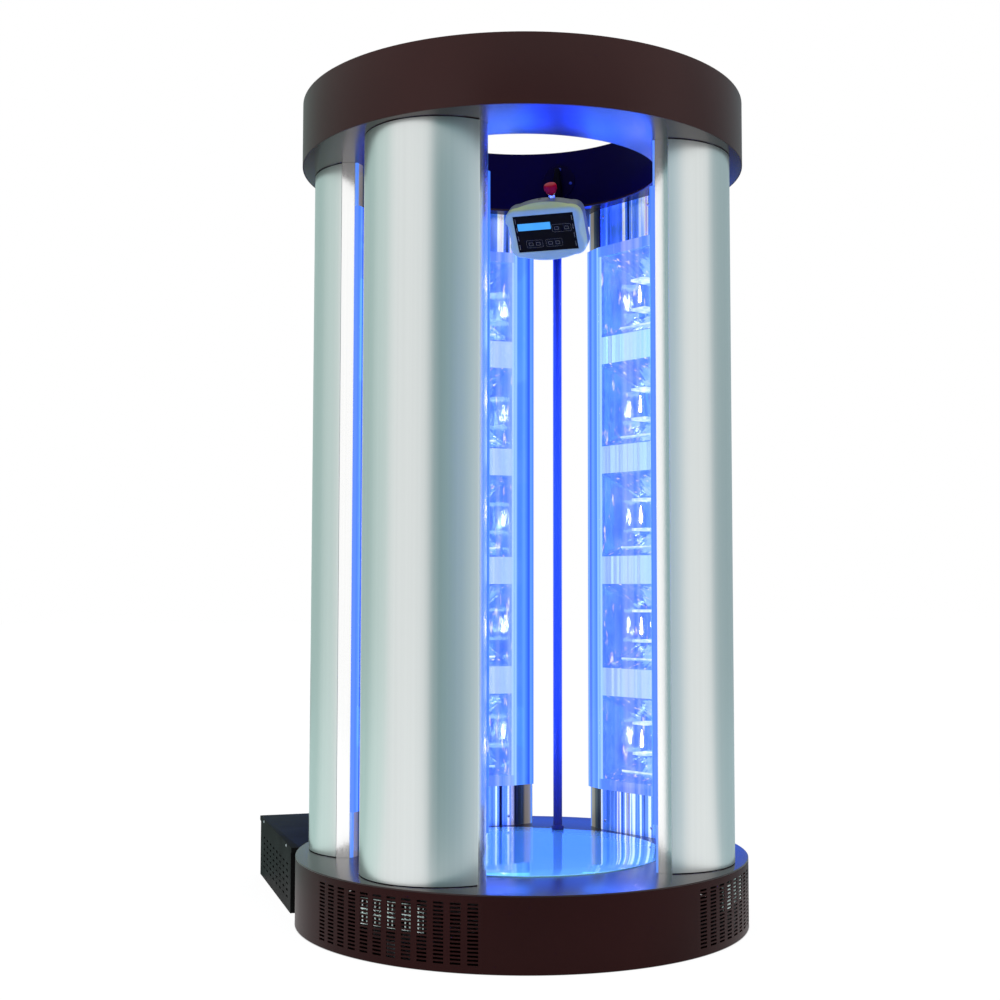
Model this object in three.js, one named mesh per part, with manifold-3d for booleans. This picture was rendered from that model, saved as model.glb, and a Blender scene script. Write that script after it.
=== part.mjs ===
// Vertical tanning booth: five lamp pillars stand on a round plinth and carry an open crown ring.
// Millimetres, +Z up. The origin is the centre of the plinth on the floor, and the entrance faces -Y.
import * as THREE from "three";
import { mergeVertices } from "three/addons/utils/BufferGeometryUtils.js";
import Module from "manifold-3d";

const wasm = await Module();
wasm.setup();

// Fits
const SEAT_GAP = 0.3; // between pieces that butt or rest on each other
const RUNNING_GAP = 0.3; // round a stem or shaft that moves in its bore
const SLOT_GAP = 0.6; // round a block or key that passes through a panel
const OVERCUT = 4; // how far a cut runs past the wall that it opens

// Booth
const BOOTH_RADIUS = 630;
const DECK_TOP = 187;
const FLOOR_TOP = 189;
const SOFFIT_HEIGHT = 2114;
const CROWN_HEIGHT = 183;
const CROWN_WIDTH = 241; // from the rim of the crown to its open middle
const CROWN_FLANGE = 27; // round the top of the outer band
const DECK_WIDTH = 235; // from the rim of the plinth to the standing floor
const SHEET = 3; // folded sheet steel of plinth and crown
const ROUND_SIDES = 44;

// Pillars: distances from the booth axis are radial, widths are across the pillar
const FRONT_PILLAR_ANGLE = 50.4; // degrees from the entrance, to either side
const REAR_PILLAR_ANGLE = 113.4; // the same; one more pillar stands at the very back
const SHELL_RADIUS = 205;
const SHELL_HALF_ARC = 63.839; // degrees to either side of its middle
const SHELL_SETBACK = 25; // from the rim of the plinth to the shell
const SHELL_WALL = 2.5;
const SHELL_LIP = 12;
const SHELL_LIP_WALL = 3;
const SHELL_SIDES = 10;
const SHADOW_JOINT = 4; // open joint at both ends of the shell
const PROFILE_DEPTH = 38;
const PROFILE_WIDTH = 12;
const PROFILE_WALL = 2.2;
const PROFILE_GROOVE = 1.2;
const PROFILE_GROOVES = 2;

// Clear cover over the lamps
const COVER_RISE = 35; // from the side profiles to the face of the cover
const COVER_FLAT_HALF = 114;
const COVER_WALL = 3;
const COVER_FLANGE = 14;
const COVER_FOOT = 123; // above the deck
const COVER_HEADROOM = 124; // below the soffit

// Mirror panel with pressed reflector pans
const PANEL_SETBACK = 9; // behind the face of the cover
const PANEL_WALL = 1.5;
const PANEL_FOLD = 6;
const WINDOW_COUNT = 5;
const WINDOW_WIDTH = 212;
const WINDOW_HEIGHT = 257;
const WINDOW_PITCH = 342;
const PAN_DEPTH = 96;
const PAN_WAIST_DEPTH = 48;
const PAN_WAIST = 0.74; // share of the window at the waist of the pan
const PAN_BACK = 0.46; // share of the window at the back of the pan

// Lamps on their rail
const RAIL_WIDTH = 40;
const RAIL_DEPTH = 12;
const RAIL_BEHIND_PAN = 24;
const LAMP_RADIUS = 10;
const LAMP_LENGTH = 84;
const LAMP_SET_FORWARD = 46; // from the back of the pan to the axis of the lamp
const HOLDER_WIDTH = 26;
const HOLDER_HEIGHT = 14;
const LAMP_SIDES = 6;

// Plinth
const FLOOR_CLEARANCE = 1.5; // under the skirt
const DECK_WALL = 3.7;
const DECK_LEDGE = 23;
const LEDGE_WALL = 4;
const FLOOR_THICKNESS = 10.7;
const FLOOR_CHAMFER = 1;

// Intake grilles, one under each pillar beside the entrance
const GRILLE_COLUMNS = 12;
const GRILLE_COLUMN_PITCH = 3.96; // degrees
const GRILLE_ROWS = 4;
const GRILLE_ROW_PITCH = 39.7;
const GRILLE_CENTRE = 93;
const GRILLE_MARGIN = 14;
const SLOT_LENGTH = 27;
const SLOT_HEIGHT = 19;

// Welded floor frame
const FOOT_HEIGHT = 12; // below the arms
const FOOT_LENGTH = 26;
const FOOT_RADIUS = 30;
const ARM_WIDTH = 50;
const ARM_HEIGHT = 40;
const ARM_SETBACK = 26; // from the rim of the plinth
const FOOT_SETBACK = 70;
const UPRIGHT_OFFSET = 55; // outwards from the centre of the shell's arc
const UPRIGHT_DEPTH = 50;
const UPRIGHT_WIDTH = 60;
const HUB_RADIUS = 60;
const HUB_SIDES = 12;
const FOOT_SIDES = 8;

// Cooling fans behind the grilles
const FAN_SIZE = 119;
const FAN_DEPTH = 38;
const FAN_SETBACK = 51; // from the rim of the plinth to the middle of the fan
const FAN_BORE_RADIUS = 56;
const FAN_SIDES = 14;
const MOTOR_RADIUS = 21;
const MOTOR_DEPTH = 15;
const SPIDER_WIDTH = 5;
const SPIDER_COUNT = 3;
const BLADE_COUNT = 5;
const BLADE_TILT = 38; // degrees
const BLADE_CHORD = 22;
const BLADE_WALL = 2;
const BLADE_TIP_GAP = 5.2;
const SHAFT_RADIUS = 2.5;
const SHAFT_LENGTH = 9;

// Ballast box behind the plinth
const BOX_SIDE_SETBACK = 15; // from the side of the plinth
const BOX_RIGHT = -100;
const BOX_FRONT = 215;
const BOX_BEHIND = 220; // beyond the back of the plinth
const BOX_HEIGHT = 187;
const BOX_WALL = 2;
const BOX_FRONT_RECESS = 18;
const LID_LIP = 15;
const VENT_ROWS = 2;
const VENT_COLUMNS = 7;
const VENT_LENGTH = 41;
const VENT_HEIGHT = 14;
const VENT_COLUMN_PITCH = 75;
const VENT_ROW_PITCH = 52;
const VENT_CENTRE_HEIGHT = 82;
const BOX_ARC_SIDES = 9;
const CHOKE_COUNT = 4;
const CHOKE_PITCH = 104;
const CHOKE_WIDTH = 48;
const CHOKE_LENGTH = 110;
const CHOKE_HEIGHT = 78;
const COIL_HEIGHT = 50;
const COIL_WIDTH = 24;
const COIL_OVERHANG = 16;
const CHOKE_PLATE_WALL = 4;
const CHOKE_PLATE_MARGIN = 18;

// Pole and its wall bracket
const POLE_RADIUS = 18.5;
const POLE_SETBACK = 22; // from the open middle of the crown to the axis of the pole
const POLE_ANGLE = 144.4; // degrees from the entrance
const POLE_RISE = 28; // above the soffit
const POLE_SIDES = 16;
const POLE_FOOT_RADIUS = 37;
const POLE_FOOT_HEIGHT = 6;
const BRACKET_RADIUS = 52;
const BRACKET_WALL = 3;
const BRACKET_RISE = 86; // above the soffit
const SOCKET_HEIGHT = 97;
const SOCKET_FOOT_RADIUS = 20;
const SOCKET_TIP_RADIUS = 8;

// Control head, measured from the centre of its face
const HEAD_STANDOFF = 129; // from the axis of the pole
const HEAD_DROP = 110; // below the soffit
const HEAD_TILT = 37; // degrees that the face looks down
const HEAD_HALF_WIDTH = 121;
const HEAD_HALF_HEIGHT = 79;
const HEAD_ARCH = 13; // rise of the top and bottom edges
const HEAD_CORNER = 40;
const HEAD_DEPTH = 76;
const HEAD_FRONT_DEPTH = 22;
const HEAD_BACK_BEVEL = 26;
const HEAD_FRONT_BEVEL = 7;
const HEAD_WALL = 5;
const HEAD_CURVE_SIDES = 3;
const HEAD_BEVEL_STEPS = 2;
const NECK_WIDTH = 56;
const NECK_HEIGHT = 34;
const NECK_RISE = 40; // above the centre of the face
const CLAMP_WALL = 7;
const KEYPAD_WIDTH = 190;
const KEYPAD_HEIGHT = 118;
const KEYPAD_WALL = 3;
const KEYPAD_DROP = 2; // below the front edge of the casing
const KEYPAD_LEDGE = 4;
const KEY_WELL_DEPTH = 5;
const KEY_WIDTH = 18;
const KEY_HEIGHT = 15;
const KEY_PROUD = 1.2;
const KEY_FLANGE = 1.5;
const KEY_FLANGE_WALL = 1.2;
const KEY_PLACES = {
  time_down_key: [-52, -34],
  time_up_key: [-29, -34],
  fan_down_key: [10, -34],
  fan_up_key: [33, -34],
  start_key: [37, 12],
  stop_key: [68, 12],
};
const DISPLAY_WIDTH = 104;
const DISPLAY_HEIGHT = 23;
const DISPLAY_PLACE = [-33, 22];
const STOP_PLACE = 27; // right of the middle of the head
const STOP_BEHIND_FACE = 46;
const STOP_COLLAR_RADIUS = 11;
const STOP_COLLAR_RISE = 14;
const STOP_COLLAR_SUNK = 9;
const STOP_STEM_RADIUS = 7;
const STOP_TRAVEL = 4;
const STOP_NECK_RADIUS = 15;
const STOP_NECK_HEIGHT = 9;
const STOP_CAP_RADIUS = 20;
const STOP_CAP_HEIGHT = 20;
const STOP_SHOULDER = 7; // below the crest of the cap
const STOP_CROWN_RADIUS = 16;
const STOP_CROWN = 2; // below the crest, at the crown's edge
const STOP_SIDES = 16;

const radians = THREE.MathUtils.degToRad;

// Sizes that follow from the ones above
const CROWN_TOP = SOFFIT_HEIGHT + CROWN_HEIGHT;
const CROWN_HOLE_RADIUS = BOOTH_RADIUS - CROWN_WIDTH;
const FLOOR_RADIUS = BOOTH_RADIUS - DECK_WIDTH;
const SHELL_CENTRE = BOOTH_RADIUS - SHELL_SETBACK - SHELL_RADIUS;
const SHELL_CORNER = SHELL_CENTRE + SHELL_RADIUS * Math.cos(radians(SHELL_HALF_ARC));
const PILLAR_HALF_WIDTH = SHELL_RADIUS * Math.sin(radians(SHELL_HALF_ARC));
const PROFILE_FRONT = SHELL_CORNER - PROFILE_DEPTH;
const COVER_FACE = PROFILE_FRONT - COVER_RISE;
const COVER_BOTTOM = DECK_TOP + COVER_FOOT;
const COVER_TOP = SOFFIT_HEIGHT - COVER_HEADROOM;
const WINDOW_CENTRE = (COVER_BOTTOM + COVER_TOP) / 2;
const PANEL_FACE = COVER_FACE + PANEL_SETBACK;
const PANEL_EDGE = PILLAR_HALF_WIDTH - COVER_WALL - SEAT_GAP;
const PAN_BACK_FACE = PANEL_FACE + PAN_DEPTH;
const RAIL_FRONT = PAN_BACK_FACE + RAIL_BEHIND_PAN;
const LAMP_AXIS = PAN_BACK_FACE - LAMP_SET_FORWARD;
const PILLAR_FOOT = DECK_TOP + SEAT_GAP;
const PILLAR_HEAD = SOFFIT_HEIGHT - SEAT_GAP;
const DECK_UNDERSIDE = DECK_TOP - DECK_WALL;
const FLOOR_UNDERSIDE = FLOOR_TOP - FLOOR_THICKNESS;
const LEDGE_TOP = FLOOR_UNDERSIDE - SEAT_GAP;
const SKIRT_TOP = DECK_UNDERSIDE - SEAT_GAP;
const ARM_TOP = FOOT_HEIGHT + ARM_HEIGHT;
const ARM_END = BOOTH_RADIUS - ARM_SETBACK;
const FOOT_PLACE = BOOTH_RADIUS - FOOT_SETBACK;
const UPRIGHT_PLACE = SHELL_CENTRE + UPRIGHT_OFFSET;
const FAN_PLACE = BOOTH_RADIUS - FAN_SETBACK;
const FAN_CENTRE_HEIGHT = ARM_TOP + SEAT_GAP + FAN_SIZE / 2;
const BOX_LEFT = BOX_SIDE_SETBACK - BOOTH_RADIUS;
const BOX_REAR = BOOTH_RADIUS + BOX_BEHIND;
const POLE_PLACE = CROWN_HOLE_RADIUS - POLE_SETBACK;
const POLE_TOP = SOFFIT_HEIGHT + POLE_RISE;
const BRACKET_CENTRE = SOFFIT_HEIGHT + BRACKET_RISE;
const HEAD_PLACE = POLE_PLACE - HEAD_STANDOFF;
const HEAD_CENTRE_HEIGHT = SOFFIT_HEIGHT - HEAD_DROP;
const HEAD_TOP_EDGE = HEAD_HALF_HEIGHT + HEAD_ARCH;
const HEAD_REACH = 4 * HEAD_HALF_WIDTH; // edge of a cube that holds either half of the head

const booth = new THREE.Group();

const FINISH = {
  brown: { color: 0x3f2828, roughness: 0.35, metalness: 0.2 },
  silver: { color: 0xa9bab4, roughness: 0.32, metalness: 0.85 },
  bright: { color: 0xd6dce0, roughness: 0.22, metalness: 0.95 },
  mirror: { color: 0xdfe6ee, roughness: 0.06, metalness: 1 },
  acrylic: { color: 0x9cc6ff, roughness: 0.08, metalness: 0 },
  lamp: { color: 0xf2ecf6, roughness: 0.2, metalness: 0 },
  gloss: { color: 0xbcd4f2, roughness: 0.08, metalness: 0 },
  steel: { color: 0x6c7074, roughness: 0.5, metalness: 0.8 },
  casing: { color: 0xb4c2d2, roughness: 0.42, metalness: 0 },
  black: { color: 0x121214, roughness: 0.45, metalness: 0 },
  display: { color: 0x3fb2ff, roughness: 0.15, metalness: 0 },
  red: { color: 0xb3121f, roughness: 0.4, metalness: 0 },
};

// A closed three.js geometry as a solid that can be joined and cut.
function solid(geometry) {
  const bare = geometry.clone();
  bare.deleteAttribute("normal");
  bare.deleteAttribute("uv");
  const merged = mergeVertices(bare, 1e-4);
  const index = merged.index.array;
  const corners = [];
  for (let i = 0; i < index.length; i += 3) {
    const [a, b, c] = index.slice(i, i + 3);
    if (a !== b && b !== c && c !== a) corners.push(a, b, c);
  }
  return new wasm.Manifold(
    new wasm.Mesh({
      numProp: 3,
      vertProperties: merged.attributes.position.array,
      triVerts: new Uint32Array(corners),
    }),
  );
}

// Several solids as one.
function joined(solids) {
  return solids.reduce((whole, piece) => whole.add(piece));
}

// A named mesh of a finished solid, added to its group.
function addPiece(group, name, shape, finish) {
  const made = shape.getMesh();
  const geometry = new THREE.BufferGeometry();
  geometry.setAttribute("position", new THREE.BufferAttribute(made.vertProperties, 3));
  geometry.setIndex(new THREE.BufferAttribute(made.triVerts, 1));
  geometry.computeVertexNormals();
  const mesh = new THREE.Mesh(geometry, new THREE.MeshStandardMaterial(FINISH[finish]));
  mesh.name = name;
  group.add(mesh);
}

// A group turned to an angle from the entrance: its own -Y points outwards there.
function groupAt(angle) {
  const group = new THREE.Group();
  group.rotation.z = radians(angle);
  booth.add(group);
  return group;
}

// A closed outline through [x, y] points, drawn anticlockwise, or clockwise for a hole.
function outline(points, hole = false) {
  const corners = points.map(([x, y]) => new THREE.Vector2(x, y));
  return new THREE.Shape(THREE.ShapeUtils.isClockWise(corners) === hole ? corners : corners.reverse());
}

// An outline across the booth, raised between two heights.
function prism(shape, low, high, curveSegments = 1) {
  const options = { depth: high - low, bevelEnabled: false, curveSegments };
  return solid(new THREE.ExtrudeGeometry(shape, options).translate(0, 0, low));
}

// A block given by its middle and its size.
function block([x, y, z], [width, depth, height]) {
  return solid(new THREE.BoxGeometry(width, depth, height).translate(x, y, z));
}

// A profile of [radius, height] points turned about the Z axis.
function turned(profile, sides = ROUND_SIDES) {
  const points = profile.map(([r, z]) => new THREE.Vector2(r, z));
  return solid(new THREE.LatheGeometry(points, sides).rotateX(Math.PI / 2));
}

// The same, for a ring whose profile closes on itself.
function turnedRing(profile, sides = ROUND_SIDES) {
  return turned([...profile, profile[0]], sides);
}

function cylinder(radius, low, high, sides) {
  return turned([[0, low], [radius, low], [radius, high], [0, high]], sides);
}

// A round bar whose axis points outwards, between two distances from the booth axis.
function radialBar(radius, inner, outer, height, sides) {
  const bar = new THREE.CylinderGeometry(radius, radius, outer - inner, sides);
  return solid(bar.translate(0, -(inner + outer) / 2, height));
}

// Half a section given as [across, outwards], completed by its mirror image.
function mirrored(half) {
  return [...half, ...half.map(([u, v]) => [-u, v]).reverse()];
}

// A sheet section between a cabin-side line and a back line, each given as its right half.
function sheetSection(front, back) {
  const loop = [...mirrored(front), ...mirrored(back).reverse()];
  return outline(loop.map(([u, v]) => [u, -v]));
}

// A slice of a ring between two radii, as wide as a number of equal flats.
function ringSlice(inner, outer, halfAngle, flats) {
  const angles = Array.from({ length: flats + 1 }, (_, i) => halfAngle * ((2 * i) / flats - 1));
  const arc = (r) => angles.map((a) => [r * Math.sin(a), -r * Math.cos(a)]);
  return outline([...arc(outer), ...arc(inner).reverse()]);
}

// Curved outer shell of a pillar, with a lip at each edge that seats on the side profiles.
function pillarShell() {
  const corner = radians(90 - SHELL_HALF_ARC);
  const innerRadius = SHELL_RADIUS - SHELL_WALL;
  const lipLevel = SHELL_CORNER + SHELL_LIP_WALL;
  const lipCorner = Math.asin((lipLevel - SHELL_CENTRE) / innerRadius);
  const lipEdge = PILLAR_HALF_WIDTH - SHELL_LIP;
  const section = new THREE.Shape();
  section.moveTo(lipEdge, -SHELL_CORNER);
  section.lineTo(PILLAR_HALF_WIDTH, -SHELL_CORNER);
  section.absarc(0, -SHELL_CENTRE, SHELL_RADIUS, -corner, corner - Math.PI, true);
  section.lineTo(-lipEdge, -SHELL_CORNER);
  section.lineTo(-lipEdge, -lipLevel);
  section.absarc(0, -SHELL_CENTRE, innerRadius, lipCorner - Math.PI, -lipCorner, false);
  section.lineTo(lipEdge, -lipLevel);
  return prism(section, DECK_TOP + SHADOW_JOINT, SOFFIT_HEIGHT - SHADOW_JOINT, SHELL_SIDES);
}

// Hollow side profile with fine grooves along its outer face, on the right (1) or left (-1) edge.
function sideProfile(side) {
  const back = SHELL_CORNER - SEAT_GAP;
  const inner = PILLAR_HALF_WIDTH - PROFILE_WIDTH;
  const pitch = PROFILE_DEPTH / (PROFILE_GROOVES + 1);
  const face = [[PILLAR_HALF_WIDTH, PROFILE_FRONT]];
  for (let i = 1; i <= PROFILE_GROOVES; i++) {
    const middle = PROFILE_FRONT + i * pitch;
    face.push([PILLAR_HALF_WIDTH, middle - PROFILE_GROOVE]);
    face.push([PILLAR_HALF_WIDTH - PROFILE_GROOVE, middle]);
    face.push([PILLAR_HALF_WIDTH, middle + PROFILE_GROOVE]);
  }
  face.push([PILLAR_HALF_WIDTH, back], [inner, back], [inner, PROFILE_FRONT]);
  const section = outline(face.map(([u, v]) => [side * u, -v]));
  const chamber = [
    [inner + PROFILE_WALL, PROFILE_FRONT + PROFILE_WALL],
    [PILLAR_HALF_WIDTH - PROFILE_GROOVE - PROFILE_WALL, PROFILE_FRONT + PROFILE_WALL],
    [PILLAR_HALF_WIDTH - PROFILE_GROOVE - PROFILE_WALL, back - PROFILE_WALL],
    [inner + PROFILE_WALL, back - PROFILE_WALL],
  ];
  section.holes.push(outline(chamber.map(([u, v]) => [side * u, -v]), true));
  return prism(section, PILLAR_FOOT, PILLAR_HEAD);
}

// Cabin-side line of the mirror panel, moved towards the cabin by a distance.
function panelFront(forward = 0) {
  const edge = PROFILE_FRONT - SEAT_GAP;
  const fold = edge - PANEL_FOLD - forward;
  return [[PANEL_EDGE, edge], [PANEL_EDGE, fold], [COVER_FLAT_HALF, PANEL_FACE - forward]];
}

// Four-sided reflector pan with two slopes, grown on all sides by a wall.
function pan(height, grow) {
  const square = Math.SQRT2;
  const profile = [
    [0, 0],
    [square, 0],
    [square * PAN_WAIST, PAN_WAIST_DEPTH + grow],
    [square * PAN_BACK, PAN_DEPTH + grow],
    [0, PAN_DEPTH + grow],
  ].map(([r, d]) => new THREE.Vector2(r, d));
  const shape = new THREE.LatheGeometry(profile, 4, Math.PI / 4).rotateX(Math.PI);
  shape.scale(WINDOW_WIDTH / 2 + grow, 1, WINDOW_HEIGHT / 2 + grow);
  return solid(shape.translate(0, -PANEL_FACE + (grow ? 0 : PANEL_WALL), height));
}

function windowHeights() {
  const first = WINDOW_CENTRE - (WINDOW_PITCH * (WINDOW_COUNT - 1)) / 2;
  return Array.from({ length: WINDOW_COUNT }, (_, i) => first + i * WINDOW_PITCH);
}

// Both ends of a lamp, as heights of its ceramic holders.
function holderHeights(height) {
  const reach = (LAMP_LENGTH + HOLDER_HEIGHT) / 2;
  return [height - reach, height + reach];
}

// One polished sheet: folded cheeks, and a reflector pan pressed in behind each window.
function mirrorPanel() {
  const edge = PROFILE_FRONT - SEAT_GAP;
  const back = [
    [PANEL_EDGE - PANEL_WALL, edge],
    [PANEL_EDGE - PANEL_WALL, edge - PANEL_FOLD + PANEL_WALL],
    [COVER_FLAT_HALF, PANEL_FACE + PANEL_WALL],
  ];
  const sheet = prism(sheetSection(panelFront(), back), PILLAR_FOOT, PILLAR_HEAD);
  const heights = windowHeights();
  const pressed = joined([sheet, ...heights.map((z) => pan(z, PANEL_WALL))]);
  const hollow = joined(heights.map((z) => pan(z, 0)));
  const slots = heights.flatMap(holderHeights).map((z) =>
    block([0, -PAN_BACK_FACE, z], [HOLDER_WIDTH + SLOT_GAP, RAIL_BEHIND_PAN, HOLDER_HEIGHT + SLOT_GAP]),
  );
  return pressed.subtract(hollow).subtract(joined(slots));
}

// Lamps in pairs of ceramic holders, all on one rail behind the pans.
function lampBank() {
  const middle = (PILLAR_FOOT + PILLAR_HEAD) / 2;
  const length = PILLAR_HEAD - PILLAR_FOOT;
  const rail = block([0, -RAIL_FRONT - RAIL_DEPTH / 2, middle], [RAIL_WIDTH, RAIL_DEPTH, length]);
  const reach = RAIL_FRONT - LAMP_AXIS + RAIL_DEPTH / 2 + LAMP_RADIUS;
  const holderMiddle = LAMP_AXIS - LAMP_RADIUS + reach / 2;
  const pieces = windowHeights().flatMap((z) => {
    const holders = holderHeights(z).map((h) =>
      block([0, -holderMiddle, h], [HOLDER_WIDTH, reach, HOLDER_HEIGHT]),
    );
    const half = (LAMP_LENGTH + HOLDER_HEIGHT) / 2;
    const tube = new THREE.CylinderGeometry(LAMP_RADIUS, LAMP_RADIUS, 2 * half, LAMP_SIDES);
    return [...holders, solid(tube.rotateX(Math.PI / 2).translate(0, -LAMP_AXIS, z))];
  });
  return joined([rail, ...pieces]);
}

// Clear tray over the windows, flanged at the sides and closed at both ends.
function lampCover() {
  const edge = PROFILE_FRONT - SEAT_GAP;
  const outer = [
    [PILLAR_HALF_WIDTH, edge],
    [PILLAR_HALF_WIDTH, edge - COVER_FLANGE],
    [COVER_FLAT_HALF, COVER_FACE],
  ];
  const inner = [
    [PILLAR_HALF_WIDTH - COVER_WALL, edge],
    [PILLAR_HALF_WIDTH - COVER_WALL, edge - COVER_FLANGE + COVER_WALL],
    [COVER_FLAT_HALF, COVER_FACE + COVER_WALL],
  ];
  const tray = prism(sheetSection(outer, inner), COVER_BOTTOM, COVER_TOP);
  const cap = sheetSection(outer, panelFront(SEAT_GAP));
  const low = prism(cap, COVER_BOTTOM, COVER_BOTTOM + COVER_WALL);
  const high = prism(cap, COVER_TOP - COVER_WALL, COVER_TOP);
  return joined([tray, low, high]);
}

const PILLAR_ANGLES = {
  front_right: FRONT_PILLAR_ANGLE,
  rear_right: REAR_PILLAR_ANGLE,
  rear: 180,
  rear_left: 360 - REAR_PILLAR_ANGLE,
  front_left: 360 - FRONT_PILLAR_ANGLE,
};
const PILLARS = Object.keys(PILLAR_ANGLES);

function addPillar(name) {
  const group = groupAt(PILLAR_ANGLES[name]);
  addPiece(group, `${name}_shell`, pillarShell(), "silver");
  addPiece(group, `${name}_profile_a`, sideProfile(-1), "bright");
  addPiece(group, `${name}_profile_b`, sideProfile(1), "bright");
  addPiece(group, `${name}_mirror_panel`, mirrorPanel(), "mirror");
  addPiece(group, `${name}_lamp_bank`, lampBank(), "lamp");
  addPiece(group, `${name}_lamp_cover`, lampCover(), "acrylic");
}

// Crown: an outer band, a soffit with its inner wall, and a lid between them.
function addCrown() {
  const wall = BOOTH_RADIUS - SHEET;
  const flange = wall - CROWN_FLANGE;
  const band = turnedRing([
    [wall, SOFFIT_HEIGHT],
    [BOOTH_RADIUS, SOFFIT_HEIGHT],
    [BOOTH_RADIUS, CROWN_TOP],
    [flange, CROWN_TOP],
    [flange, CROWN_TOP - SHEET],
    [wall, CROWN_TOP - SHEET],
  ]);
  const rim = wall - SEAT_GAP;
  const soffit = turnedRing([
    [CROWN_HOLE_RADIUS, SOFFIT_HEIGHT],
    [rim, SOFFIT_HEIGHT],
    [rim, SOFFIT_HEIGHT + SHEET],
    [CROWN_HOLE_RADIUS + SHEET, SOFFIT_HEIGHT + SHEET],
    [CROWN_HOLE_RADIUS + SHEET, CROWN_TOP],
    [CROWN_HOLE_RADIUS, CROWN_TOP],
  ]);
  const lidTop = CROWN_TOP - SHEET - SEAT_GAP;
  const lidInner = CROWN_HOLE_RADIUS + SHEET + SEAT_GAP;
  const lid = turnedRing([
    [lidInner, lidTop - SHEET],
    [rim, lidTop - SHEET],
    [rim, lidTop],
    [lidInner, lidTop],
  ]);
  addPiece(booth, "crown_band", band, "brown");
  addPiece(booth, "crown_soffit", soffit, "brown");
  addPiece(booth, "crown_lid", lid, "brown");
}

// Half the angle that a grille covers, in radians.
const GRILLE_HALF_ANGLE = radians((GRILLE_COLUMNS * GRILLE_COLUMN_PITCH) / 2);
const GRILLE_HALF_HEIGHT = ((GRILLE_ROWS - 1) * GRILLE_ROW_PITCH + SLOT_HEIGHT) / 2 + GRILLE_MARGIN / 2;
const GRILLE_SIDES = ["right", "left"];

function grilleAngle(side) {
  return PILLAR_ANGLES[`front_${side}`];
}

// Curved panel with columns of slots, set flush into a window of the skirt.
function intakeGrille() {
  const inner = BOOTH_RADIUS - SHEET;
  const slice = ringSlice(inner, BOOTH_RADIUS, GRILLE_HALF_ANGLE, GRILLE_COLUMNS);
  const panel = prism(slice, GRILLE_CENTRE - GRILLE_HALF_HEIGHT, GRILLE_CENTRE + GRILLE_HALF_HEIGHT);
  const slots = [];
  for (let column = 0; column < GRILLE_COLUMNS; column++) {
    const angle = radians((column - (GRILLE_COLUMNS - 1) / 2) * GRILLE_COLUMN_PITCH);
    for (let row = 0; row < GRILLE_ROWS; row++) {
      const height = GRILLE_CENTRE + (row - (GRILLE_ROWS - 1) / 2) * GRILLE_ROW_PITCH;
      const slot = new THREE.BoxGeometry(SLOT_LENGTH, SHEET + 2 * OVERCUT, SLOT_HEIGHT);
      slot.translate(0, -(BOOTH_RADIUS - SHEET / 2), height).rotateZ(angle);
      slots.push(solid(slot));
    }
  }
  return panel.subtract(joined(slots));
}

// Round skirt under the deck, with a window for each grille.
function plinthSkirt() {
  const wall = BOOTH_RADIUS - SHEET;
  const skirt = turnedRing([
    [wall, FLOOR_CLEARANCE],
    [BOOTH_RADIUS, FLOOR_CLEARANCE],
    [BOOTH_RADIUS, SKIRT_TOP],
    [wall, SKIRT_TOP],
  ]);
  const halfAngle = GRILLE_HALF_ANGLE + SEAT_GAP / BOOTH_RADIUS;
  const reach = GRILLE_HALF_HEIGHT + SEAT_GAP;
  const cut = ringSlice(wall - SHEET, BOOTH_RADIUS + SHEET, halfAngle, GRILLE_COLUMNS);
  const options = { depth: 2 * reach, bevelEnabled: false };
  const windows = GRILLE_SIDES.map((side) => {
    const shape = new THREE.ExtrudeGeometry(cut, options).translate(0, 0, GRILLE_CENTRE - reach);
    return solid(shape.rotateZ(radians(grilleAngle(side))));
  });
  return skirt.subtract(joined(windows));
}

// Deck round the standing floor, with a ledge that the floor rests on.
function deckRing() {
  const lip = FLOOR_RADIUS + LEDGE_WALL;
  return turnedRing([
    [FLOOR_RADIUS - DECK_LEDGE, LEDGE_TOP - LEDGE_WALL],
    [lip, LEDGE_TOP - LEDGE_WALL],
    [lip, DECK_UNDERSIDE],
    [BOOTH_RADIUS, DECK_UNDERSIDE],
    [BOOTH_RADIUS, DECK_TOP],
    [FLOOR_RADIUS, DECK_TOP],
    [FLOOR_RADIUS, LEDGE_TOP],
    [FLOOR_RADIUS - DECK_LEDGE, LEDGE_TOP],
  ]);
}

function floorPlate() {
  const edge = FLOOR_RADIUS - SEAT_GAP;
  return turned([
    [0, FLOOR_UNDERSIDE],
    [edge, FLOOR_UNDERSIDE],
    [edge, FLOOR_TOP - FLOOR_CHAMFER],
    [edge - FLOOR_CHAMFER, FLOOR_TOP],
    [0, FLOOR_TOP],
  ]);
}

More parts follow.
